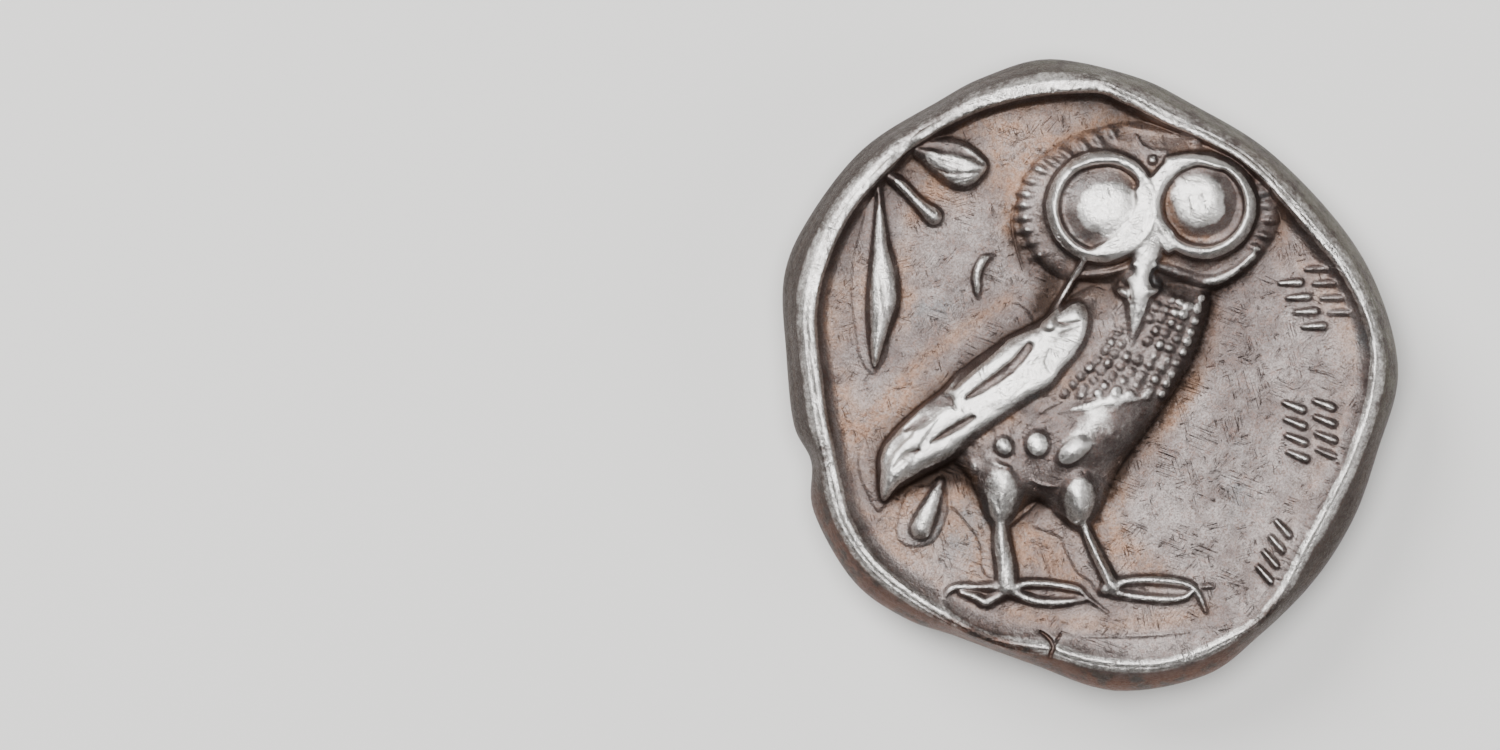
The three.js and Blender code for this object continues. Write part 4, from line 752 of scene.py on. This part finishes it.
# Pearls of the crest's edge and of the necklace, plumes, and bands of the neck guard.
def crestAndNecklace(layer):
    for x, y, radius in [
        [-10.75, -1.6, 0.3], [-10.2, -2.35, 0.3], [-9.6, -3.05, 0.3], [-9.05, -3.6, 0.3],
        [-8.4, -4.2, 0.3], [-7.6, -4.5, 0.3],
        [-2.4, -3.4, 0.3], [-2.1, -4.3, 0.36], [-1.85, -5.1, 0.38], [-1.75, -6, 0.42], [-1.65, -6.9, 0.42],
        [-1.6, -7.8, 0.38], [-1.8, -8.7, 0.3], [-1.9, -9.8, 0.35], [-2.2, -10.5, 0.35],
    ]:
        cap(layer, x, y, radius, radius, 0.36, 0, 0.6)
    for k in range(5):                                # plumes of the crest
        bar(layer, [[-11.3 + 0.45 * k, -2.7 - k], [-10.5 + 0.65 * k, -2.3 - 0.75 * k]], [0.12, 0.2],
            [0.25, 0.45])
    bar(layer, [[-3.2, -2.9], [-3.5, -3.8], [-3.5, -5], [-3.3, -6.5], [-2.9, -8], [-2.7, -9.2]], 0.34, 0.32)
    bar(layer, [[-6, -8.5], [-5, -8.5], [-4.2, -8.9], [-3.2, -9.4], [-2.6, -9.6]], [0.35, 0.6, 0.5, 0.4],
        0.3)
    bar(layer, [[-6, -9.2], [-5.4, -9.5], [-5, -9.6]], 0.2, 0.3)
    bar(layer, [[-4.3, -10.3], [-3.6, -10.9]], 0.2, 0.4)
    bar(layer, [[-1, -9.9], [0, -10], [1, -10.1], [2, -10.5], [3, -10.8], [4, -10.7]], 0.18, 0.26)
    for k in range(5):
        cap(layer, -1.3 + 0.75 * k, -11.15 - 0.08 * k, 0.3, 0.28, 0.4, 0, 0.6)


lip = {"height": 0.32, "turn": -10, "start": 0.25, "fade": 0.3, "reach": 0.85, "width": 0.75}


# A low lip that follows the edge on the side that the face looks to, and fades out at both ends.
def borderLip():
    angle = np.arctan2(gridY, gridX)
    inward = headRadius(angle) - np.hypot(gridX, gridY)
    there = smoothStep((np.cos(angle - math.radians(lip["turn"])) - lip["start"]) / lip["fade"])
    slope = swelling((inward - lip["reach"]) / lip["width"], 1)
    return lip["height"] * there * np.where(inward < lip["reach"], 1, slope)


# Wear: above the shoulder the height runs into one level, by one minus the exponential of the rest.
def worn(z):
    top = flan["wornTop"]
    shoulder = flan["headRelief"] - top
    return np.where(z < shoulder, z, shoulder + top * (1 - np.exp((shoulder - np.maximum(z,
                                                                                         shoulder)) / top)))


# Head, hair, ear, earring and helmet in the order in which they cover each other.
def headRelief():
    head = headMass() - drawn(faceFolds)
    head = head + drawn(faceFeatures) - drawn(faceCreases)
    head = np.maximum(head, drawn(hairMass)) + drawn(hairStrands) - drawn(curlGrooves)
    head = head - drawn(lambda layer: cap(layer, -3.8, 1.6, 1.5, 2.4, 0.35, 18, 0.5)) + drawn(ear)
    head = np.maximum(head, drawn(lambda layer: cap(layer, -1.7, -1.15, 1.25, 1.25, 1.95, 0, 0.22)))
    head = head + drawn(volutes) + drawn(helmetLeaves) - drawn(leafVeins)
    head = head + drawn(visor) + drawn(crestAndNecklace)
    return np.maximum(worn(head), borderLip())


# Wear on both surfaces.
wear = {
    "softness": 0.035,
    "fieldWave": 0.012,
    "waveSize": 1.3,
    "grain": 0.003,
    "grainSize": 0.1,
    "pitDepth": 0.05,
    "pitSize": 0.06,
    "pitLimit": 2.6,
    "owlSeed": 3,
    "headSeed": 11,
    "rimDentSize": 0.4,
    "rimSeed": 31,
}


# Broad waves and fine grain, and pits where blurred random heights pass a limit.
def wearOf(seed):
    wave = wear["fieldWave"] * unevenness(wear["waveSize"], seed)
    grain = wear["grain"] * unevenness(wear["grainSize"], seed + 1)
    pits = wear["pitDepth"] * smoothStep(unevenness(wear["pitSize"], seed + 2) - wear["pitLimit"])
    return wave + grain - pits


owlLayer = blur(owlRelief(), wear["softness"]) + wearOf(wear["owlSeed"])
print("owl side drawn")
headLayer = blur(headRelief(), wear["softness"]) + wearOf(wear["headSeed"])
print("head side drawn")


# Cracks in the rim and beside the owl's head, which are taken off the finished surface.
def crackLines(layer):
    bar(layer, [[-1.7, -10.3], [-1.35, -10.6], [-1.2, -10.95], [-1.32, -11.3], [-1.15, -12]],
        [0.05, 0.1, 0.12, 0.16, 0.3], 0.3)
    bar(layer, [[-0.9, -10.4], [-1.1, -10.75], [-1.2, -10.95]], [0.05, 0.09], 0.18)
    bar(layer, [[-2.75, 6.9], [-2.85, 6.2], [-2.75, 5.4], [-2.4, 4.2]], [0.04, 0.07, 0.04], 0.06)


rimDents = unevenness(wear["rimDentSize"], wear["rimSeed"])
cracks = drawn(crackLines)
halfThickness = flan["thickness"] / 2


# From the mid plane at the edge up to the height, along a superellipse: power 2 is a quarter round,
# and nearer to 1 it is a bevel with a rounded foot.
def flankRise(t, height, power):
    return -halfThickness + (halfThickness + height) * (1 - (1 - np.clip(t, 0, 1)) ** power) ** (1 / power)


# The higher of relief and rim, cut by the flank outside the rim's crest. Height, width and inner slope
# of the rim change with the cosine of the angle round the coin.
def owlSurface(x, y):
    angle, reach = np.arctan2(y, x), np.hypot(x, y)
    highSide = np.cos(angle - math.radians(flan["rimSwellTurn"]))
    crest = flan["rimHeight"] + flan["rimSwell"] * highSide
    foot = flan["rimFoot"] - flan["rimFootSwell"] * highSide
    wideSide = np.cos(angle - math.radians(flan["rimWidthTurn"]))
    halfWidth = flan["rimHalfWidth"] + flan["rimWidthSwell"] * wideSide
    fromCrest = crestRadius(angle) - reach
    fromEdge = owlRadius(angle) - reach
    inward = np.clip((fromCrest - halfWidth) / foot, 0, 1)
    rise = crest * (1 + flan["rimRoughness"] * sample(rimDents, x, y)) * (1 - inward) ** 2
    rise = rise + flan["fieldRise"] * np.clip(1 - fromCrest / flan["fieldRiseReach"], 0, 1) ** 2
    width = np.maximum(owlRadius(angle) - crestRadius(angle) - 0.5 * halfWidth, flan["narrowestFlank"])
    flank = flankRise(fromEdge / width, crest, flan["flankPower"])
    flank = flank + flan["flankSteepness"] * np.clip(fromCrest, 0, None)
    relief = sample(owlLayer, x, y)
    onRim = rise + flan["rimShare"] * np.minimum(relief, flan["rimShareHeight"])
    return smoothMin(np.maximum(relief, onRim) - sample(cracks, x, y), flank, flan["creaseWidth"])


# The relief runs out over the edge and is rounded down with it.
def headSurface(x, y):
    fromEdge = headRadius(np.arctan2(y, x)) - np.hypot(x, y)
    return flankRise(fromEdge / flan["roundedEdge"], sample(headLayer, x, y), flan["edgePower"])


# The coin's mesh.
coinMesh = {"cells": 560, "crowd": 0.9, "triangles": 190000}


# Grid square to disc: x root(1 - y y / 2), y root(1 - x x / 2); beyond the crowding radius
# the reach goes as a sine, which crowds the rows towards the steep edge.
def discGrid():
    n = coinMesh["cells"]
    s, t = np.meshgrid(np.linspace(-1, 1, n + 1), np.linspace(-1, 1, n + 1))
    x, y = s * np.sqrt(1 - t * t / 2), t * np.sqrt(1 - s * s / 2)
    reach = np.maximum(np.hypot(x, y), 1e-9)
    start = coinMesh["crowd"]
    crowded = start + (1 - start) * np.sin(np.clip((reach - start) / (1 - start), 0, 1) * np.pi / 2)
    scale = np.where(reach > start, crowded / reach, 1) * owlRadius(np.arctan2(y, x))
    return x * scale, y * scale


# Two sheets over one grid that share their outer row of points.
def coinSurface():
    n = coinMesh["cells"] + 1
    x, y = discGrid()
    owlField = flan["headRelief"] + flan["thickness"]
    upper = owlField + owlSurface(x, y)
    lower = flan["headRelief"] - headSurface(*throughFlan(x, y))
    middle = owlField - halfThickness
    index = np.arange(n * n).reshape(n, n)
    inner = np.zeros((n, n), bool)
    inner[1:-1, 1:-1] = True
    upper[~inner] = middle
    below = index.copy()
    below[inner] = n * n + np.arange(inner.sum())
    points = np.vstack([
        np.column_stack([x.ravel(), y.ravel(), upper.ravel()]),
        np.column_stack([x[inner], y[inner], lower[inner]]),
    ])

    def quads(i):
        corners = [i[:-1, :-1], i[:-1, 1:], i[1:, 1:], i[1:, :-1]]
        return np.column_stack([corner.ravel() for corner in corners])

    return points, np.vstack([quads(index), quads(below)[:, ::-1]])


# A mesh from an array of points and an array of faces of one size.
def meshFrom(name, points, faces):
    mesh = bpy.data.meshes.new(name)
    mesh.vertices.add(len(points))
    mesh.vertices.foreach_set("co", np.asarray(points, np.float32).ravel())
    size = faces.shape[1]
    mesh.loops.add(faces.size)
    mesh.loops.foreach_set("vertex_index", faces.astype(np.int32).ravel())
    mesh.polygons.add(len(faces))
    mesh.polygons.foreach_set("loop_start", np.arange(0, faces.size, size, dtype=np.int32))
    mesh.update(calc_edges=True)
    mesh.validate()
    return mesh


# Collapses edges of flat stretches until about the given number of triangles is left.
def thinned(piece, triangles):
    share = triangles / (2 * len(piece.data.polygons))
    step = piece.modifiers.new("thin", "DECIMATE")
    step.ratio = share
    step.use_collapse_triangulate = True
    dense = piece.data
    graph = bpy.context.evaluated_depsgraph_get()
    piece.data = bpy.data.meshes.new_from_object(piece.evaluated_get(graph))
    piece.modifiers.clear()
    bpy.data.meshes.remove(dense)


points, faces = coinSurface()
middle = (points[:, :2].max(0) + points[:, :2].min(0)) / 2
shift = np.array([*(-middle), -points[:, 2].min()])       # box middle over the origin, lowest point at 0
place = np.array([(cadLow.x + cadHigh.x) / 2, (cadLow.y + cadHigh.y) / 2, cadLow.z])
coin = bpy.data.objects.new("struckCoin", meshFrom("struckCoin", (points + shift) * mm + place, faces))
bpy.context.scene.collection.objects.link(coin)
thinned(coin, coinMesh["triangles"])
print("coin mesh", len(coin.data.vertices), "points", len(coin.data.polygons), "faces")


# What the surface carries: hollows, worn heights, toned colour and painted shade.
toningAndShade = {
    "creviceSize": 0.11, "creviceDepth": 0.04,
    "standSize": 0.45, "standHeight": 0.2,
    "hollowSize": 0.9, "hollowDepth": 0.3,
    "slopeSize": 0.06,
    "patchSize": 0.15,      # blur at the edge of a patch
    "lowest": -0.4,         # the flank below this counts as level
    "limit": 2,
    "edgeReach": 4,
}


# Where painted shade and amber tone lie thick on the owl's side: lines, half widths and strengths.
patches = {
    # painted shade beside the head, below the wing, down the right side of the body, under the head, under
    # the rim at the top and between the thighs
    "shadePatch": [
        [[[-2.7, 5.6], [-2.1, 4.6], [-1.3, 4.1], [-1.7, 3]], 0.6, 0.9],
        [[[-7.9, -4.9], [-6.5, -4.2], [-5.5, -3.9], [-4.5, -4.3], [-3.9, -5]], [0.35, 0.45, 0.4, 0.3], 0.8],
        [[[5.1, 2.8], [4.7, 1.2], [3.9, -0.4], [2.9, -1.9], [1.7, -3.6], [1.2, -4.9]],
         [0.4, 0.6, 0.5, 0.35], 0.9],
        [[[3.3, 3.4], [4.6, 3.2], [5.8, 3.5], [6.6, 4]], [0.25, 0.35, 0.3], 0.9],
        [[[-2.4, 10.7], [0, 10.95], [2.4, 10.6]], [0.3, 0.5, 0.3], 0.5],
        [[[-2.3, -4.6], [-1.8, -5], [-1.1, -4.7]], 0.3, 0.6],
    ],
    "amber": [
        [[[-3.1, 5.8], [-2.8, 7.1], [-2.2, 8.2], [-0.9, 9.2], [0.6, 9.95], [1.7, 10.1]], [0.3, 0.5, 0.4],
         0.8],
        [[[-6.9, 6.3], [-6.2, 7.1], [-5.7, 7.9]], 0.45, 0.8],
        [[[-3.5, 7.5], [-3.2, 8.4], [-3.3, 9.3]], 0.4, 0.7],
        [[[-2.9, 3.1], [-4.3, 2.2], [-5.5, 1.3], [-6.7, 0.3], [-7.7, -1], [-9, -2.4]], [0.25, 0.4, 0.35],
         0.8],
        [[[-2.2, -6.9], [-1.4, -7.3], [-0.6, -8.2]], 0.8, 0.75],
        [[[1.2, -6.3], [2, -7], [2.9, -8]], 0.7, 0.7],
        [[[-3, -9.6], [0, -10], [3, -9.9], [5, -9.4]], 0.45, 0.6],
        [[[7.9, 5], [8, 6.6], [7.5, 8.3], [6.3, 9.4]], 0.35, 0.6],
        [[[5.4, 2.6], [5, 0.8], [3.9, -1.2], [2.5, -3.3]], 0.3, 0.5],
    ],
}


# Patches of one kind, blurred at their edges; the painted shade and the amber tone each make one layer.
def patchLayer(name):
    layer = blank()
    for line, halfWidth, strength in patches[name]:
        bar(layer, line, halfWidth, strength, 1)
    return blur(layer, toningAndShade["patchSize"])


# Height of a blurred surface over the surface itself: positive in hollows, negative on ridges.
def hollowness(z, size, depth):
    return (blur(z, size) - z) / depth


# One value on each point of the mesh, which a material can read by name.
def attribute(mesh, name, values):
    mesh.attributes.new(name, "FLOAT", "POINT").data.foreach_set("value", np.asarray(values, np.float32))


# Slope is the length of the gradient; the other layers compare the surface with its blurs.
def layersOf(surface):
    z = np.maximum(surface(gridX, gridY), toningAndShade["lowest"])
    dy, dx = np.gradient(blur(z, toningAndShade["slopeSize"]), sheet["pitch"])
    return {
        "height": z,
        "slope": np.hypot(dx, dy),
        "crevice": hollowness(z, toningAndShade["creviceSize"], toningAndShade["creviceDepth"]),
        "stand": -hollowness(z, toningAndShade["standSize"], toningAndShade["standHeight"]),
        "hollow": hollowness(z, toningAndShade["hollowSize"], toningAndShade["hollowDepth"]),
    }


# Reads every layer at the place of each point, on the side that the point is on.
def paintAttributes(mesh):
    count = len(mesh.vertices)
    co = np.empty(count * 3, np.float32)
    mesh.vertices.foreach_get("co", co)
    co = (co.reshape(-1, 3) - place) / mm - shift
    x, y = co[:, 0], co[:, 1]
    isOwl = co[:, 2] > flan["headRelief"] + halfThickness
    hx, hy = throughFlan(x, y)
    owlLayers, headLayers = layersOf(owlSurface), layersOf(headSurface)
    for name in owlLayers:
        values = np.where(isOwl, sample(owlLayers[name], x, y), sample(headLayers[name], hx, hy))
        attribute(mesh, name, np.clip(values, -toningAndShade["limit"], toningAndShade["limit"]))
    reach = owlRadius(np.arctan2(y, x)) - np.hypot(x, y)
    attribute(mesh, "fromEdge", np.clip(reach, 0, toningAndShade["edgeReach"]))
    for name in patches:
        attribute(mesh, name, np.where(isOwl, sample(patchLayer(name), x, y), 0))


paintAttributes(coin.data)
print("toning masks painted")


# A value in a node tree that can be used in plain arithmetic.
class Socket:
    def __init__(self, sketch, socket):
        self.sketch, self.socket = sketch, socket

    def maths(self, operation, *others):
        return self.sketch.node("ShaderNodeMath", {"operation": operation}, [self, *others])

    def reflected(self, operation, other):
        return self.sketch.node("ShaderNodeMath", {"operation": operation}, [other, self])

    def __add__(self, other):
        return self.maths("ADD", other)

    def __radd__(self, other):
        return self.reflected("ADD", other)

    def __sub__(self, other):
        return self.maths("SUBTRACT", other)

    def __rsub__(self, other):
        return self.reflected("SUBTRACT", other)

    def __mul__(self, other):
        return self.maths("MULTIPLY", other)

    def __rmul__(self, other):
        return self.reflected("MULTIPLY", other)

    def high(self, other):
        return self.maths("MAXIMUM", other)

    def clamped(self):
        return self.sketch.node("ShaderNodeClamp", {}, [self, 0.0, 1.0])

    # Straight ramp from one value to the other, held at 0 and 1 beyond them, with eased ends.
    def ramp(self, start, end):
        settings = {"interpolation_type": "SMOOTHSTEP"}
        return self.sketch.node("ShaderNodeMapRange", settings, [self, start, end, 0.0, 1.0])


# A material with an empty node tree, and short ways to add nodes to it.
class Sketch:
    def __init__(self, name):
        self.material = bpy.data.materials.new(name)
        self.material.use_nodes = True
        self.tree = self.material.node_tree
        self.tree.nodes.clear()

    def node(self, kind, settings, inputs, output=0):
        made = self.tree.nodes.new(kind)
        for key, value in settings.items():
            setattr(made, key, value)
        named = inputs.items() if isinstance(inputs, dict) else enumerate(inputs)
        for key, value in named:
            if isinstance(value, Socket):
                self.tree.links.new(value.socket, made.inputs[key])
            else:
                made.inputs[key].default_value = value
        return Socket(self, made.outputs[output])

    # Goes from colour a to colour b as the factor goes from 0 to 1.
    def blend(self, factor, a, b):
        first, second = [c if isinstance(c, Socket) else (*c, 1.0) for c in (a, b)]
        return self.node("ShaderNodeMix", {"data_type": "RGBA"}, {0: factor, 6: first, 7: second}, 2)

    def mask(self, name):
        return self.node("ShaderNodeAttribute", {"attribute_name": name}, [], "Fac")

    # Object coordinates in millimetres, stretched by a factor on each axis and turned about Z.
    def place(self, stretch=(1, 1, 1), turn=0.0):
        where = self.node("ShaderNodeTexCoord", {}, [], "Object")
        scale = tuple(s / mm for s in stretch)
        spin = (0, 0, math.radians(turn))
        turned = self.node("ShaderNodeMapping", {}, {"Vector": where, "Rotation": spin})
        return self.node("ShaderNodeMapping", {}, {"Vector": turned, "Scale": scale})

    def noise(self, where, scale, detail=4.0, roughness=0.6):
        inputs = {"Vector": where, "Scale": scale, "Detail": detail, "Roughness": roughness}
        return self.node("ShaderNodeTexNoise", {}, inputs)

    def bump(self, height, distance):
        return self.node("ShaderNodeBump", {}, {"Strength": 1.0, "Distance": distance, "Height": height})

    def finish(self, shader):
        end = self.tree.nodes.new("ShaderNodeOutputMaterial")
        self.tree.links.new(shader.socket, end.inputs["Surface"])
        return self.material


silverTones = {
    "bright": (0.90, 0.875, 0.845),
    "dull": (0.50, 0.47, 0.45),
    "field": (0.15, 0.124, 0.118),
    "paleField": (0.30, 0.265, 0.253),
    "blueGrey": (0.17, 0.19, 0.20),
    "pink": (0.30, 0.19, 0.16),
    "amber": (0.27, 0.135, 0.07),
    "brown": (0.07, 0.042, 0.03),
    "shadeAndSpeckBlack": (0.02, 0.013, 0.01),
    "flank": (0.06, 0.05, 0.046),
    "rust": (0.17, 0.06, 0.033),
    "green": (0.15, 0.155, 0.12),
}


silverFinish = {
    "cloud": 0.22, "mottle": 1.3, "speck": 5.0, "grain": 13.0,      # patterns, in repeats a millimetre
    "roughness": 0.32,
    "bump": 0.000032,                                               # metres
    "scratchTurns": [(20, 0.8), (75, 1.1), (130, 1.5), (-15, 1.9)],  # degrees, and size of the patches
}


# Fine lines in four directions, each kept only in patches: 1 on a line and 0 beside it.
def scratchLines(s):
    lines = 0.0
    for turn, patch in silverFinish["scratchTurns"]:
        line = s.noise(s.place((0.3, 8.0, 1.0), turn), 1.0, 2)
        hair = (1.0 - (line - 0.5).maths("ABSOLUTE") * 60.0).clamped()
        keep = s.noise(s.place(turn=turn + 40), patch, 2).ramp(0.56, 0.64)
        lines = (hair * keep).high(lines)
    return lines


# Old silver: toned field, then amber, brown creases, painted shade, dark flank, and bright metal where it is
# worn.
def struckSilver():
    s = Sketch("struckSilver")
    where = s.place()
    cloud = s.noise(where, silverFinish["cloud"], 4)
    mottle = s.noise(where, silverFinish["mottle"], 6, 0.65)
    speck = s.noise(where, silverFinish["speck"], 5, 0.7)
    grain = s.noise(s.place(turn=30), silverFinish["grain"], 3, 0.65)
    across = s.node("ShaderNodeSeparateXYZ", {}, [where], 0)
    upward = s.node("ShaderNodeSeparateXYZ", {}, [where], 1)
    crevice, hollow, stand = s.mask("crevice"), s.mask("hollow"), s.mask("stand")
    height, slope, fromEdge = s.mask("height"), s.mask("slope"), s.mask("fromEdge")
    shadePatch, amber = s.mask("shadePatch"), s.mask("amber")

    # field: mauve grey clouded with paler, cooler and pinker patches
    pale = (cloud * 0.5 + mottle * 0.35 + speck * 0.15).ramp(0.42, 0.6)
    colour = s.blend(pale, silverTones["field"], silverTones["paleField"])
    cool = s.noise(where, 0.3, 3, 0.5).ramp(0.58, 0.72)
    colour = s.blend(cool * 0.6, colour, silverTones["blueGrey"])
    flecks = (s.noise(s.place(turn=60), 2.6, 5, 0.7) * 0.6 + grain * 0.4).ramp(0.5, 0.62)
    colour = s.blend(flecks * 0.4, colour, silverTones["pink"])

    # amber beside the relief and in its own patches, broken up by the mottle
    broken = (mottle * 0.5 + speck * 0.5).ramp(0.38, 0.58)
    beside = (hollow.ramp(0.08, 0.5) * cloud.ramp(0.4, 0.6) + amber * 1.1).clamped() * (broken * 0.8 + 0.2)
    colour = s.blend(beside * 0.7, colour, silverTones["amber"])

    # brown tone in the creases, and painted shade, near black, at the foot of the high relief and in the
    # shade patches
    lines = (crevice.ramp(0.5, 2.0) * (0.45 + 0.7 * speck.ramp(0.35, 0.65))).clamped()
    colour = s.blend(lines * 0.6, colour, silverTones["brown"])
    paintedShade = (hollow.ramp(0.45, 1.4) * 0.75 + shadePatch * (0.5 + broken * 0.6) + (speck - 0.5) * 0.3).clamped()
    colour = s.blend(paintedShade * 0.9, colour, silverTones["shadeAndSpeckBlack"])
    # painted shade: steep slopes are painted darker brown
    colour = s.blend(slope.ramp(0.8, 2.4) * 0.35, colour, silverTones["brown"])

    # flank: dark, with rust low on the left and green high on the right
    flank = 1.0 - fromEdge.ramp(0.4, 1.1)
    side = s.blend(speck.ramp(0.35, 0.7), silverTones["flank"], silverTones["shadeAndSpeckBlack"])
    rust = (0.0 - upward - across * 0.35).ramp(7.0, 10.5) * mottle.ramp(0.38, 0.56)
    side = s.blend(rust * 0.5, side, silverTones["rust"])
    green = (across + upward).ramp(8.0, 13.0) * mottle.ramp(0.38, 0.56)
    side = s.blend(green * 0.5, side, silverTones["green"])
    colour = s.blend(flank * 0.85, colour, side)

    # worn metal: high places and what stands above its surroundings, kept out of the painted shade patches
    level = 1.0 - slope.ramp(0.3, 1.4)
    worn = height.ramp(1.0, 1.22) * level * 0.95 + stand.ramp(0.12, 0.85)
    worn = worn - 0.22 - crevice.ramp(0.3, 1.6) * 0.35
    worn = worn + (speck - 0.5) * 0.7 + (mottle - 0.5) * 0.7 + (grain - 0.5) * 0.3 - flank * 0.7 - shadePatch * 0.5
    worn = worn.ramp(0.0, 0.7)
    metal = s.blend((speck * 0.5 + grain * 0.5).ramp(0.42, 0.6), silverTones["dull"], silverTones["bright"])
    colour = s.blend(worn, colour, s.blend(height.ramp(1.0, 1.2) * 0.6, metal, silverTones["bright"]))
    colour = s.blend(grain.ramp(0.44, 0.6) * (0.34 - 0.22 * worn), colour, silverTones["brown"])

    roughness = silverFinish["roughness"] + 0.14 * (1.0 - worn) + 0.12 * paintedShade
    roughness = roughness + 0.16 * (speck - 0.5) + 0.2 * (grain - 0.5)
    relief = speck + mottle * 0.9 + grain * 0.5 - scratchLines(s) * 0.7
    normal = s.bump(relief, silverFinish["bump"])
    skin = s.node("ShaderNodeBsdfPrincipled", {}, {
        "Base Color": colour, "Metallic": 1.0, "Roughness": roughness, "Normal": normal,
    })
    return s.finish(skin)


coin.data.materials.clear()
coin.data.materials.append(struckSilver())
coin.data.polygons.foreach_set("use_smooth", np.ones(len(coin.data.polygons), bool))
coin.data.update()
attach(coin, "root")
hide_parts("coin")
print("coin dressed")


# Floor, lights and camera.
studio = {
    "floorSize": 1.2,
    "floorColour": (0.84, 0.83, 0.81),
    "cameraHeight": 0.5,
    "frameWidth": 0.060,      # metres of floor across the picture
    "coinOffset": 0.01368,    # the coin lies right of the picture's middle
    "worldGrey": 0.045,
    "floorShade": 0.985,      # how much darker its clouds are
    "sensor": 36.0,           # millimetres
    "lights": {               # name: place, size, watts
        "key": [(-0.34, 0.36, 0.42), 0.36, 4.0],
        "top": [(-0.04, 0.06, 0.8), 0.5, 8.5],
        "side": [(0.45, -0.1, 0.3), 0.25, 0.5],
    },
}


# Plain pale floor with very faint clouds.
def floorSurface():
    s = Sketch("paleFloor")
    pale = studio["floorColour"]
    shade = tuple(studio["floorShade"] * c for c in pale)
    tone = s.blend(s.noise(s.place(), 0.08, 3), pale, shade)
    return s.finish(s.node("ShaderNodeBsdfPrincipled", {}, {"Base Color": tone, "Roughness": 0.8}))


half = studio["floorSize"] / 2
corners = np.array([[-half, -half, 0], [half, -half, 0], [half, half, 0], [-half, half, 0]])
floorPoints = corners + [0, 0, cadLow.z]
floor = bpy.data.objects.new("studioFloor", meshFrom("studioFloor", floorPoints, np.array([[0, 1, 2, 3]])))
floor.data.materials.append(floorSurface())
bpy.context.scene.collection.objects.link(floor)

world = bpy.data.worlds.new("softRoom")
world.use_nodes = True
world.node_tree.nodes["Background"].inputs["Color"].default_value = (*[studio["worldGrey"]] * 3, 1.0)
bpy.context.scene.world = world

for name, (spot, size, watts) in studio["lights"].items():
    lamp = bpy.data.lights.new(name, "AREA")
    lamp.shape, lamp.size, lamp.energy = "DISK", size, watts
    holder = bpy.data.objects.new(name, lamp)
    holder.location = spot
    holder.rotation_euler = (-Vector(spot)).to_track_quat("-Z", "Y").to_euler()
    bpy.context.scene.collection.objects.link(holder)

lens = bpy.data.cameras.new("camera")
lens.sensor_width = studio["sensor"]
lens.lens = lens.sensor_width * (studio["cameraHeight"] - cadHigh.z) / studio["frameWidth"]
lens.clip_start, lens.clip_end = 0.01, 10.0
camera = bpy.data.objects.new("camera", lens)
camera.location = (-studio["coinOffset"], 0.0, studio["cameraHeight"])
bpy.context.scene.collection.objects.link(camera)
bpy.context.scene.camera = camera
print("studio set")
